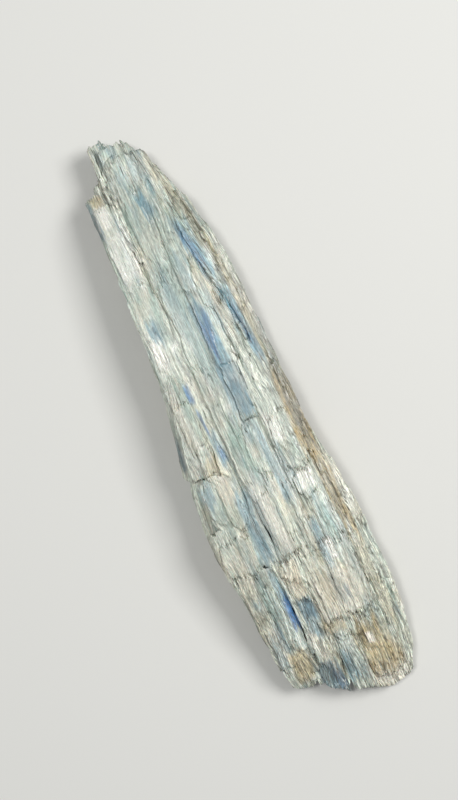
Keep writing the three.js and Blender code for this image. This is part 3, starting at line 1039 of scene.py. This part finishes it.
MOTTLES = {
    Pigment.STEEL: Mottle(length=26, width=5.5, share=0.5, strength=0.5, wide_end=0.4, seed=401),
    Pigment.DEEP: Mottle(length=18, width=2.5, share=0.12, strength=0.12, wide_end=0.5, seed=411),
    Pigment.IRON: Mottle(length=21, width=4.5, share=0.34, strength=0.2, wide_end=2.0, seed=421),
    Pigment.PEARL_AND_GLARE: Mottle(length=15, width=3.5, share=0.36, strength=0.5, wide_end=0.8, seed=431),
    Pigment.GREEN: Mottle(length=19, width=6.5, share=0.5, strength=0.4, wide_end=0.5, seed=441),
    Pigment.BLUSH: Mottle(length=17, width=5, share=0.46, strength=0.5, wide_end=1.3, seed=451),
    Pigment.SLATE_AND_SHADE: Mottle(length=19, width=2.2, share=0.24, strength=0.34, wide_end=1.2, seed=461),
}


STRONG = (Pigment.STEEL, Pigment.DEEP, Pigment.IRON, Pigment.SLATE_AND_SHADE)
GIVE_WAY = 0.85  # how far the patches fade where a strong band lies


def stains(along: Array, across: Array) -> dict[Pigment, Array]:
    """Colours the crystals with the bands, and with the patches where no strong band lies.

    Args:
        along: Design places along the blades.
        across: Design places across them.

    Returns:
        How strongly each pigment colours each place.
    """
    bands = {
        pigment: np.max([streak.cover(along, across) for streak in streaks], axis=0)
        for pigment, streaks in STREAKS.items()
    }
    strong = np.max([bands[pigment] for pigment in STRONG], axis=0)
    left = 1 - GIVE_WAY * strong
    return {
        pigment: np.maximum(band, MOTTLES[pigment].cover(along, across) * left)
        for pigment, band in bands.items()
    }


def linear(colour: str) -> tuple[float, float, float, float]:
    """Turns an sRGB hex colour into the linear colour that a shader takes."""
    channels = [int(colour[i : i + 2], 16) / 255 for i in (1, 3, 5)]
    # the sRGB curve is straight near black and a power above that
    return (*(c / 12.92 if c <= 0.04045 else ((c + 0.055) / 1.055) ** 2.4 for c in channels), 1.0)


Source = bpy.types.Node | bpy.types.NodeSocket


def add_node(
    tree: bpy.types.NodeTree, kind: str, *inputs: object, named: dict | None = None, **settings: object
) -> bpy.types.Node:
    """Adds a node with its settings and links.

    Args:
        tree: The node tree.
        kind: The node's type, without the word that all shader nodes start with.
        inputs: What its inputs take, in order: a value, an output, or a node for its first output.
        named: What its inputs take by name.
        settings: The node's own properties.

    Returns:
        The node.
    """
    node = tree.nodes.new(f"ShaderNode{kind}")
    for name, value in settings.items():
        setattr(node, name, value)
    live = [socket for socket in node.inputs if socket.enabled]
    fed = [*zip(live, inputs), *((node.inputs[name], value) for name, value in (named or {}).items())]
    for socket, value in fed:
        if isinstance(value, bpy.types.Node):
            value = next(output for output in value.outputs if output.enabled)
        if isinstance(value, bpy.types.NodeSocket):
            tree.links.new(value, socket)
        else:
            socket.default_value = value
    return node


@dataclass(frozen=True)
class Cleavage:
    """Kyanite on its cleavage: pearly sheets, fine lines along them, blue from titanium and iron.

    Attributes:
        pale: The colour of a clean sheet.
        grey: The colour between the sheets.
        steel: The usual blue.
        deep: The blue of the strongest streaks.
        iron: Iron stain.
        pearl_and_glare: A sheet that has come away, so that air under it whitens it; on the bright plate
            by the plain edge and on two small facets, painted glare and glints.
        green: A grey-green tinge.
        blush: A faint warm tinge.
        slate_and_shade: A dark grey-blue where the crystal is clear and deep, which also paints shade in
            the hollow at the narrow end and at the foot of the ridge at the wide end.
        painted_shade: The colour of the painted shade in the seams, the cracks and at the foot of each
            step.
        rim: A sheet's thin bright edge: a painted highlight, which also stands for the whitening of a
            broken edge.
        lines: How long and how wide the finest lines are, in millimetres. A crystal's own are finer, and
            these are as coarse as they need to be to show.
        bands: How long and how wide the pale and grey bands are.
        feather: How long and how wide the short soft patches are.
        grit: How long and how wide the short fibres of a torn place are.
        groove: How deep the finest lines are, in millimetres.
        ior: Kyanite's refractive index.
        gloss: How rough a clean sheet is.
        coat: How much of the topmost sheet's own shine lies over the rest, and how rough that is.
        depth: How much of the light passes a little way in.
    """

    pale: str = "#e8ecdb"
    grey: str = "#9ca79a"
    steel: str = "#6a9aad"
    deep: str = "#2a6ba6"
    iron: str = "#b49a62"
    pearl_and_glare: str = "#f6f3e8"
    green: str = "#90b0a2"
    blush: str = "#e2d5bd"
    slate_and_shade: str = "#4f7080"
    painted_shade: str = "#4a473c"
    rim: str = "#eef0e4"
    lines: tuple[float, float] = (9, 0.4)
    bands: tuple[float, float] = (26, 1.9)
    feather: tuple[float, float] = (1.9, 0.8)
    grit: tuple[float, float] = (2.4, 0.28)
    groove: float = 0.18
    ior: float = 1.72
    gloss: float = 0.38
    coat: tuple[float, float] = (0.12, 0.2)
    depth: float = 0.06

    def material(self) -> bpy.types.Material:
        """Makes the material.

        Returns:
            The material.
        """
        # Perfect cleavage splits kyanite into pearly sheets, whose edges show as fine straight lines.
        # Light passes a little way in, so the blue seems to lie under the surface.
        material = bpy.data.materials.new("kyanite_cleavage")
        material.use_nodes = True
        tree = material.node_tree
        tree.nodes.clear()
        lines, bands, feather = (
            self._drawn_out(tree, size) for size in (self.lines, self.bands, self.feather)
        )
        painted_shade_and_highlight = add_node(tree, "Attribute", attribute_name="painted_shade_and_highlight").outputs["Fac"]
        pearl_and_glare_share = add_node(tree, "Attribute", attribute_name=Pigment.PEARL_AND_GLARE.value).outputs["Fac"]
        colour = self._stained(tree, lines, bands)
        light = self._light(tree, lines, feather)
        colour = add_node(tree, "Mix", 1.0, colour, light, data_type="RGBA", blend_type="MULTIPLY")
        # Painted shade darkens the seams, the cracks and the steps' feet; below 0 the same mark paints a
        # highlight on the rims.
        clear = add_node(tree, "MapRange", lines, 0.35, 0.6, 1.0, 0.55)
        painted_shading = add_node(tree, "Math", painted_shade_and_highlight, clear, operation="MULTIPLY")
        colour = add_node(tree, "Mix", painted_shading, colour, linear(self.painted_shade), data_type="RGBA")
        bright = add_node(tree, "MapRange", painted_shade_and_highlight, -0.5, 0.0, 0.9, 0.0)
        colour = add_node(tree, "Mix", bright, colour, linear(self.rim), data_type="RGBA")
        dull = add_node(tree, "MapRange", bands, 0.3, 0.7, self.gloss - 0.06, self.gloss + 0.16)
        sheen = add_node(tree, "Math", pearl_and_glare_share, 0.2, operation="MULTIPLY")
        roughness = add_node(tree, "Math", dull, sheen, operation="SUBTRACT")
        feathery = add_node(tree, "Math", feather, 0.6, operation="MULTIPLY")
        height = add_node(tree, "Math", lines, feathery, operation="ADD")
        grooved = add_node(tree, "MapRange", pearl_and_glare_share, 0.4, 1.0, 0.85, 0.25)
        relief = {"Strength": grooved, "Distance": self.groove * MM, "Height": height}
        surface = {
            "Base Color": colour,
            "Roughness": roughness,
            "Normal": add_node(tree, "Bump", named=relief),
            "IOR": self.ior,
            "Coat Weight": self.coat[0],
            "Coat Roughness": self.coat[1],
            "Subsurface Weight": self.depth,
            "Subsurface Scale": 1.0 * MM,
        }
        skin = add_node(tree, "BsdfPrincipled", named=surface)
        add_node(tree, "OutputMaterial", skin, is_active_output=True)
        return material

    def _drawn_out(
        self, tree: bpy.types.NodeTree, size: tuple[float, float], detail: float = 3.0
    ) -> bpy.types.Node:
        """Draws noise out along the blades.

        Args:
            tree: The node tree.
            size: How long and how wide one streak of it is, in millimetres.
            detail: How many finer layers it has.

        Returns:
            The noise, from 0 to 1.
        """
        grain = add_node(tree, "UVMap", uv_map=GRAIN_UV)
        length, width = size
        place = add_node(tree, "Mapping", named={"Vector": grain, "Scale": (1 / length, 1 / width, 1)})
        sizes = {"Vector": place, "Scale": 1.0, "Detail": detail, "Roughness": 0.6}
        return add_node(tree, "TexNoise", named=sizes, noise_dimensions="2D")

    def _stained(self, tree: bpy.types.NodeTree, lines: Source, bands: Source) -> bpy.types.Node:
        """Lays the pigments over the clean sheets, each one broken up by the fine lines.

        Args:
            tree: The node tree.
            lines: The fine lines.
            bands: The broad bands between pale and grey.

        Returns:
            The colour.
        """
        clean = add_node(tree, "MapRange", bands, 0.3, 0.62, 0.0, 1.0)
        colour = add_node(tree, "Mix", clean, linear(self.grey), linear(self.pale), data_type="RGBA")
        broken = add_node(tree, "MapRange", lines, 0.25, 0.55, 0.7, 1.0)
        # The pearl colour also paints glare and glints, and the slate also paints shade.
        strongest = {
            Pigment.GREEN: (self.green, 0.9),
            Pigment.BLUSH: (self.blush, 0.8),
            Pigment.STEEL: (self.steel, 0.85),
            Pigment.IRON: (self.iron, 0.92),
            Pigment.SLATE_AND_SHADE: (self.slate_and_shade, 0.9),
            Pigment.DEEP: (self.deep, 0.95),
            Pigment.PEARL_AND_GLARE: (self.pearl_and_glare, 0.9),
        }
        for pigment, (hue, most) in strongest.items():
            amount = add_node(tree, "Attribute", attribute_name=pigment.value).outputs["Fac"]
            streaky = add_node(tree, "Math", amount, broken, operation="MULTIPLY")
            share = add_node(tree, "Math", streaky, most, operation="MULTIPLY")
            colour = add_node(tree, "Mix", share, colour, linear(hue), data_type="RGBA")
        return colour

    def _light(self, tree: bpy.types.NodeTree, lines: Source, feather: Source) -> bpy.types.Node:
        """Works out how light each place is, by its sheet, its torn fibres and its feathering.

        Args:
            tree: The node tree.
            lines: The fine lines.
            feather: The short soft patches.

        Returns:
            The factor that the colour is multiplied by.
        """
        grit = self._drawn_out(tree, self.grit, 1.0)
        tone = add_node(tree, "Attribute", attribute_name="tone").outputs["Fac"]
        how_torn = add_node(tree, "Attribute", attribute_name="torn").outputs["Fac"]
        sheet = add_node(tree, "MapRange", tone, -1.4, 1.4, 0.64, 1.28)
        long_fibres = add_node(tree, "MapRange", lines, 0.34, 0.66, 0.56, 1.36)
        short_fibres = add_node(tree, "MapRange", grit, 0.3, 0.7, 0.64, 1.32)
        fibres = add_node(tree, "Math", long_fibres, short_fibres, operation="MULTIPLY")
        torn = add_node(tree, "Math", fibres, how_torn, operation="POWER")
        light = add_node(tree, "Math", sheet, torn, operation="MULTIPLY")
        soft = add_node(tree, "MapRange", feather, 0.3, 0.7, 0.86, 1.12)
        return add_node(tree, "Math", light, soft, operation="MULTIPLY")


# ---------------------------------------------------------------- the groups of blades


@dataclass
class BladeGroup:
    """Blades that lie together, joined as one piece.

    Attributes:
        name: The piece's name.
        blades: Its blades, by name.
        first_seed: The seed of its first blade.
        sampling: How finely its blades are modelled.
    """

    name: str
    blades: dict[str, Blade]
    first_seed: int
    sampling: Sampling = Sampling()

    def build(self) -> bpy.types.Object:
        """Builds the piece from its blades.

        Returns:
            The piece.
        """
        joined = bmesh.new()
        for number, blade in enumerate(self.blades.values()):
            mesh = BladeMesh(blade, self.first_seed + number, self.sampling).build()
            joined.from_mesh(mesh)
            bpy.data.meshes.remove(mesh)
        mesh = bpy.data.meshes.new(self.name)
        joined.to_mesh(mesh)
        joined.free()
        self._fit_strips(mesh)
        mesh.polygons.foreach_set("use_smooth", np.ones(len(mesh.polygons), bool))
        mesh.set_sharp_from_angle(angle=math.radians(CREASE))
        piece = bpy.data.objects.new(self.name, mesh)
        bpy.context.scene.collection.objects.link(piece)
        return piece

    def _fit_strips(self, mesh: bpy.types.Mesh) -> None:
        """Scales the blades' strips to fill the bake map, all in the same square, where they overlap."""
        layer = mesh.uv_layers[BAKE_UV]
        places = np.zeros(len(layer.data) * 2, np.float32)
        layer.data.foreach_get("uv", places)
        places = places.reshape(-1, 2)
        places[:, 0] = (places[:, 0] - places[:, 0].min()) / np.ptp(places[:, 0])
        places[:, 1] = places[:, 1] / max(places[:, 1].max(), 1)
        layer.data.foreach_set("uv", places.ravel())

    def dress(self, piece: bpy.types.Object, material: bpy.types.Material) -> None:
        """Gives the piece its finish and ties it to the frame."""
        piece.data.materials.append(material)
        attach(piece, BODY)
        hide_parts(NODE)


CROWN = {
    "crown": Blade((-111, 57), (-1.2, -1.2, -1), (14, 10.9, 8.5), (15.2, 25.6, 23), 7,
                   first=Break(5, 0.4, 0.2), last=Break(0, 0, 1.2)),
    "back_rim": Blade((-117.6, -85), (-9.1, -9.2, -9.4), (1.5, 2.2, 2.5), (13.4, 15, 16), 4, -10,
        first=Break(0, 0.6, 0.2), tone=0.1),
    # the back tips are set darker than the crown's tip, as painted shade
    "back_left": Blade((-118, -80), (-5.6, -5.4, -5), (4.4, 5.5, 6), (12, 14.6, 16), 4, -4,
        first=Break(0.4, 0.5, 0.8), tone=-0.6),
    "back_middle": Blade((-116, -75), (-0.3, 0, 0.5), (7.4, 8, 8), (12.4, 15.8, 18), 4.5,
        first=Break(0.8, -0.6, 1), tone=-0.35),
    "back_right": Blade((-113, -70), (5.9, 7.4, 8.6), (3.6, 6, 7), (11.6, 15.2, 18), 5, 8,
        first=Break(0, -2, 0.8), tone=-0.2),
    "centre_right": Blade((-105.5, 2.5), (6.6, 6.8, 7), (4, 8, 7.2), (15, 24.6, 25), 6.5, 4,
        first=Break(1, -1, 0.8)),
}
PLATES = {
    "shoulder": Blade((-78, 27), (8.5, 13, 16.4), (2.5, 8.8, 12.6), (20.5, 24.4, 23.8), 6, 6,
        last=Break(0, -5, 1.2)),
    "grey_strip": Blade((1, 69), (6.6, 6.6, 7), (7.6, 8.4, 8), (24, 23.5, 20.4), 6, 2,
        last=Break(0, 0, 1.2)),
    "right_plate": Blade((21, 87), (16, 16.6, 16.3), (12, 12, 12.6), (23.1, 22, 18.6), 6, 6,
        last=Break(1, 0, 1.5)),
    "tan_plate": Blade((56, 86), (5, 5.5, 6), (8.6, 9, 9.6), (21.6, 20.5, 18.2), 5,
        last=Break(0, 0, 1.4)),
    "stub_plate": Blade((55, 74), (-3.3, -3, -2.8), (8.2, 7.6, 6.4), (22.2, 21.2, 20), 4,
        last=Break(0, 0.8, 1.4)),
}
LEFT = {
    "left_face": Blade((-94, 9), (-14, -13.1, -13.6), (6, 12.6, 12), (18, 23.2, 23.4), 7, -5,
        first=Break(0, 0.3, 0.1), last=Break(1, 1, 0.6), tone=0.15),
    "left_tips": Blade((-101.5, -55), (-13.6, -13.4, -13.5), (9, 9.6, 8), (13.6, 17.2, 19.6), 5, -6,
        first=Break(0, 3, 0.8)),
    "left_rim": Blade((-98, -45), (-17.6, -17, -18), (2.8, 3, 3), (14, 17.4, 19.4), 6, -25,
        first=Break(0, 0, 0.4)),
    "seam_splint": Blade((-105, -68), (-9.2, -8.4, -7.6), (2.2, 2.8, 1.8), (15, 19.8, 22.2), 5, -4,
        first=Break(0, 0, 0.4)),
    "lens": Blade((-28, 17), (-14.8, -16.4, -18), (1.5, 8.6, 10.4), (23.2, 24.6, 22.8), 6, -8,
                  last=Break(1, 0, 0.8)),
    "seam_blade": Blade((-24, 40), (-10.8, -9.7, -8.8), (3.5, 5, 3), (23.1, 23.9, 22.4), 5,
        last=Break(0, 0, 0.4)),
    "left_edge": Blade((-50, 16.5), (-18, -19.1, -23.9), (3, 5.6, 6.6), (18.6, 19.4, 17.4), 9, -32,
        last=Break(1.5, 1, 0.4)),
    "left_plate": Blade((17, 41), (-16, -16, -15.4), (11.6, 13.6, 10.6), (24.3, 24, 22.9), 4, -6,
        first=Break(2, 0, 0.3), last=Break(2, 0, 0.4)),
    "blue_slope": Blade((17, 57.5), (-9, -9.4, -9.2), (2.5, 5.8, 8.6), (22.8, 22.8, 21.6), 6, -3,
        last=Break(0, 0, 0.8)),
    "left_low_edge": Blade((13, 70), (-21.7, -24.5, -22.1), (5.6, 6.4, 6), (17, 18, 15.6), 10, -30,
        last=Break(1, 0, 0.4), tone=0.6),
    "left_low_plate": Blade((38, 59), (-20, -19.4, -19), (12, 13.6, 13), (22.7, 21.6, 20), 5, -10,
        last=Break(0, 0, 0.8)),
    "left_low_face": Blade((54, 99.5), (-18.6, -17.9, -17.7), (12.6, 12, 9.4), (20.6, 17.2, 10.6), 8, -10,
        last=Break(1, 1, 0.5)),
    "blue_ribbon": Blade((57, 92), (-10.8, -11, -11), (6, 6.6, 6.6), (21.2, 18.7, 14.9), 6, 8,
        first=Break(0, 0, 0.4), last=Break(0, 0, 0.5)),
    "ridge": Blade((56, 96), (-7.9, -7, -7), (2.6, 2.6, 2.6), (21.9, 19.1, 13.9), 5, tone=0.3),
}
FLANK = {
    # the flank blades set darker are painted shade on their laminated edges, with a darker iron stain
    "upper_flank": Blade((-109, -38), (8.2, 14, 20), (3.5, 6.6, 5.6), (14, 20.2, 21.2), 8, 16,
        first=Break(0, -1, 0.6), tone=-0.3),
    "groove_blade": Blade((-88, -6), (9.6, 15.2, 19.8), (3, 5, 3), (18.6, 21.3, 21.4), 6, 8,
        last=Break(0, 0, 0.4)),
    "outer_flank": Blade((-104, -36), (10.2, 19.4, 22.6), (3.4, 7, 5.6), (12.4, 15.9, 15.6), 8, 34,
        first=Break(0, -2, 0.6), last=Break(0, 0, 0.8), tone=-0.4),
    "flank_step": Blade((-87, -34), (17.6, 21.2, 23), (4, 3.6, 3), (14.8, 16.8, 17), 7, 42,
        first=Break(0, -1.4, 0.4), last=Break(0, 0, 0.6), tone=-0.4),
    "brown_flank": Blade((-56, 30), (19.6, 21.6, 23.2), (4.6, 7, 6.6), (20.6, 21, 20), 8, 26,
        tone=-1.2),
    "middle_rim": Blade((-50, 34), (23.4, 24.1, 24.9), (4, 5, 5), (13, 14, 13.6), 8, 52,
        first=Break(0, 0, 0.4), last=Break(0, 0, 0.4), tone=-1.2),
    "low_flank": Blade((12, 80), (23.2, 26.2, 27.8), (6, 8, 7.6), (20, 18.4, 15.5), 8, 26,
        last=Break(0, 0, 0.6), tone=-0.4),
    "low_rim": Blade((16, 104), (24.8, 30.2, 28.8), (4, 5.6, 5), (12.5, 13, 9.5), 9, 50,
        last=Break(1, 0, 0.4)),
    "valley_ridge": Blade((24, 96), (22.6, 23.8, 24.4), (2.6, 3.2, 3), (21.4, 20.5, 16.2), 6, 18,
        last=Break(0, 0, 0.4), tone=-0.5),
}
WIDE_END = {
    "blue_end": Blade((66, 112.6), (-2.8, -3, -4), (7.6, 8.6, 8.8), (20, 16.5, 9.6), 6,
        last=Break(0, 2.6, 0.7)),
    "grey_end": Blade((82, 117), (5.5, 5.8, 5.8), (9, 10, 10.8), (18.4, 15.2, 9.6), 6, 0,
        last=Break(0, 1.6, 0.8)),
    "stained_lobe": Blade((84, 115), (17, 17.2, 17), (14.6, 15.4, 14), (18.1, 15.2, 10.5), 6, 2,
        last=Break(2.4, 0, 0.8), tone=0.35),
    "last_plate": Blade((98, 120.5), (17.2, 18.2, 18.4), (17, 17.8, 14.8), (10.6, 9.2, 7), 5, 3,
        last=Break(2.2, -1, 0.4), tone=0.6),
    "right_lobe": Blade((64, 113.4), (27, 27.6, 25.8), (9, 9.4, 7.6), (16, 14, 9.4), 8, 22,
        last=Break(1.6, -1.5, 0.4)),
    "left_lobe": Blade((86, 107.6), (-15.4, -15, -14.4), (12.6, 12.6, 11.4), (14.4, 12.4, 8.4), 6, -4,
        first=Break(1.5, 0, 0.3), last=Break(2.4, 0, 0.4)),
}
WALLS = {
    "left_wall_tip": Blade((-97, -28), (-17.6, -17.5, -19.4), (3.5, 5, 5.5), (12, 13.6, 13.8), 7, -78),
    "left_wall_middle": Blade((-46, 36), (-18.7, -20.8, -24.8), (5, 6, 6.4), (12.4, 13, 11.6), 9, -80),
    "left_wall_end": Blade((24, 97), (-24.5, -25.1, -21.7), (6.4, 6, 4.4), (12.2, 10.8, 8), 10, -82),
    "left_foot_tip": Blade((-90, -4), (-13.8, -15.2, -17.4), (6, 8.4, 9), (8.6, 6.6, 6), 9, -118),
    "left_foot_middle": Blade((-22, 66), (-16.8, -19.6, -20.8), (8, 9.6, 9), (6.2, 6, 6.2), 10, -124),
    "left_foot_end": Blade((50, 101), (-20.6, -19, -15.6), (8.6, 8, 6), (6.6, 5.8, 5.2), 10, -126),
    "right_wall_tip": Blade((-98, -24), (9.2, 18, 21.5), (4.4, 6, 6.4), (9.4, 11, 11.4), 8, 86),
    "right_wall_middle": Blade((-38, 48), (21, 22.7, 26.6), (6, 6.4, 6), (10, 9.6, 9.4), 9, 88),
    "right_wall_end": Blade((36, 109), (25.8, 29.3, 26.4), (6, 6, 5), (9.2, 8.6, 7.4), 10, 90),
    "right_foot_tip": Blade((-92, -12), (9, 14.4, 17.6), (6, 8, 9), (7.6, 6, 5.2), 9, 122),
    "right_foot_middle": Blade((-32, 58), (17, 19.2, 22.4), (8, 9, 9), (5.2, 5.2, 5), 10, 126),
    "right_foot_end": Blade((44, 112), (21.6, 23.6, 21), (8, 8.6, 7), (5, 4.8, 4.4), 10, 128),
}
UNDERSIDE = {
    "base_left": Blade((-67, 61), (-8, -9.6, -9.2), (6.6, 9.5, 8.2), (0, 0, 0), 9, 180,
        first=Break(0, 3, 1.4), last=Break(0, 3, 1.4), undercut=-11),
    "base_middle": Blade((-46, 82), (0.4, 1.4, 2.4), (7.4, 9.8, 9), (0, 0, 0), 9, 180,
        first=Break(0, -4, 1.4), last=Break(0, 3, 1.4), undercut=-14),
    "base_right": Blade((-35, 77), (8.4, 11.6, 13), (5, 8.2, 7.4), (0, 0, 0), 9, 180,
        first=Break(0, -2, 1.4), last=Break(0, -3, 1.4), undercut=-9),
    "under_tip_left": Blade((-113, -46), (-4.6, -7.6, -10.4), (6, 9, 9), (9, 5.2, 2.2), 6, -172),
    "under_tip_middle": Blade((-114, -34), (0.4, 0.4, 0), (6, 9, 9), (8.6, 4.2, 1), 6, 180),
    "under_tip_right": Blade((-107, -28), (5, 8.6, 9), (5, 8, 8), (9.4, 5.4, 1.8), 6, 172),
    "under_left": Blade((-56, 60), (-11.6, -13.6, -13.4), (7, 8, 8), (2.6, 2.2, 2.4), 7, -160),
    "under_right": Blade((-48, 74), (12, 15.4, 17.6), (7, 8, 8), (2.4, 2, 2.4), 7, 160),
    "under_end_left": Blade((48, 105.5), (-12.4, -11.4, -11), (9, 9, 8), (1.6, 3, 5.4), 5, -174),
    "under_end_middle": Blade((62, 111), (-3.4, -2.4, -1.6), (8, 9, 8), (1.2, 2.4, 5.2), 5, 180),
    "under_end_right": Blade((58, 116), (10, 11, 12), (11, 13, 12), (1, 1.6, 3.4), 5, 176),
    "seam_bed": Blade((-104, 57), (-7.6, -6.8, -6), (3.4, 3, 3), (14.7, 23.9, 22.4), 5),
    "left_bed": Blade((-92, 98), (-12.5, -13.8, -14), (7, 9.8, 9.4), (17.2, 22.4, 11.4), 6, -8),
    "right_bed": Blade((-96, 104), (6, 16.4, 19), (10, 13, 14), (16.4, 22.3, 12.4), 6, 14),
    "core": Blade((-102, 108), (-2, 1.6, 6), (17, 38, 32), (13, 20, 9), (6, 15.5, 3.5)),
}
COARSE = Sampling(column=0.55, row=1.4, wall=0.9)  # for the blades that lie underneath
CREASE = 32.0  # edges sharper than this many degrees stay crisp
GROUPS = (
    BladeGroup("crown_blades", CROWN, 1),
    BladeGroup("plate_blades", PLATES, 11),
    BladeGroup("left_blades", LEFT, 21),
    BladeGroup("flank_blades", FLANK, 41),
    BladeGroup("wide_end_blades", WIDE_END, 61),
    BladeGroup("wall_blades", WALLS, 81, COARSE),
    BladeGroup("underside_blades", UNDERSIDE, 101, COARSE),
)


# ---------------------------------------------------------------- the studio


@dataclass(frozen=True)
class Card:
    """Pale matt card under the cluster.

    Attributes:
        colour: The card's colour.
        roughness: How matt it is.
    """

    colour: str = "#dcdbd6"
    roughness: float = 0.9

    def material(self) -> bpy.types.Material:
        """Makes the material.

        Returns:
            The material.
        """
        # Uncoated card scatters light evenly, so it shows the shadows and no shine.
        material = bpy.data.materials.new("pale_studio_card")
        material.use_nodes = True
        surface = material.node_tree.nodes["Principled BSDF"]
        surface.inputs["Base Color"].default_value = linear(self.colour)
        surface.inputs["Roughness"].default_value = self.roughness
        return material


@dataclass(frozen=True)
class Studio:
    """A pale floor, soft light and a camera that looks straight down.

    Attributes:
        aim: The design place under the camera.
        height: How high the camera is over the floor.
        focus: How high over the floor the framing is measured.
        shown: The length of floor that fills the picture's long side there.
        turn: How far the cluster is turned from upright in the picture, in degrees.
        sensor: The length of the film's long side.
        floor: Half of the floor's side, in metres.
        surround: The colour of the light from all around.
        glow: How strong that light is.
    """

    aim: tuple[float, float] = (-6.84, 1.75)
    height: float = 600.0
    focus: float = 12.0
    shown: float = 309.4
    turn: float = 23.8
    sensor: float = 36.0
    floor: float = 1.5
    surround: str = "#e9edf0"
    glow: float = 0.3

    def build(self) -> None:
        """Builds the floor, the lights and the camera."""
        self._floor()
        self._lights()
        self._camera()

    def _floor(self) -> None:
        """Lays a plain pale floor under the cluster."""
        mesh = bpy.data.meshes.new("floor")
        sheet = bmesh.new()
        bmesh.ops.create_grid(sheet, x_segments=1, y_segments=1, size=self.floor)
        sheet.to_mesh(mesh)
        sheet.free()
        floor = bpy.data.objects.new("floor", mesh)
        bpy.context.scene.collection.objects.link(floor)
        mesh.materials.append(Card().material())

    def _lights(self) -> None:
        """Hangs a key light on the laminated side, a small sheen light and a pale surround."""
        turn = math.radians(90 - self.turn)
        right = Vector((math.cos(turn), math.sin(turn), 0))
        up = Vector((-math.sin(turn), math.cos(turn), 0))
        self._softbox("key", 0.6 * right + 0.35 * up + Vector((0, 0, 0.9)), size=0.5, power=8.6)
        self._softbox("sheen", -0.28 * right + 0.1 * up + Vector((0, 0, 1.1)), size=0.22, power=4.2)
        world = bpy.data.worlds.new("surround")
        world.use_nodes = True
        background = world.node_tree.nodes["Background"]
        background.inputs["Color"].default_value = linear(self.surround)
        background.inputs["Strength"].default_value = self.glow
        bpy.context.scene.world = world
        bpy.context.scene.view_settings.view_transform = "Standard"

    def _softbox(self, name: str, place: Vector, size: float, power: float) -> None:
        """Hangs one square light that points at the cluster.

        Args:
            name: The light's name.
            place: Where it hangs, in metres.
            size: Its side, in metres.
            power: Its power, in watts.
        """
        light = bpy.data.lights.new(name, "AREA")
        light.size = size
        light.energy = power
        lamp = bpy.data.objects.new(name, light)
        lamp.location = place
        lamp.rotation_euler = place.to_track_quat("Z", "Y").to_euler()
        bpy.context.scene.collection.objects.link(lamp)

    def _camera(self) -> None:
        """Sets the camera over the cluster, looking straight down."""
        camera = bpy.data.cameras.new("camera")
        camera.sensor_width = self.sensor
        camera.lens = self.sensor * (self.height - self.focus) / self.shown
        camera.clip_start = 0.01
        holder = bpy.data.objects.new("camera", camera)
        x, y, _ = AXES.place(np.array(self.aim[0]), np.array(self.aim[1]), np.array(0.0))
        holder.location = (x, y, self.height * MM)
        holder.rotation_euler = (0, 0, math.radians(90 - self.turn))
        bpy.context.scene.collection.objects.link(holder)
        bpy.context.scene.camera = holder


def corners(bounds: object) -> list:
    """Turns a box's corners into plain lists of numbers."""
    return [[float(value) for value in corner] for corner in bounds]


def main() -> None:
    """Builds every group of blades and the studio."""
    logging.basicConfig(level=logging.INFO, format="%(name)s: %(message)s")
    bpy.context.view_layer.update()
    material = Cleavage().material()
    for group in GROUPS:
        piece = group.build()
        group.dress(piece, material)
        LOG.info("%s: %d blades, %d faces", group.name, len(group.blades), len(piece.data.polygons))
    Studio().build()


if __name__ == "__main__":
    main()
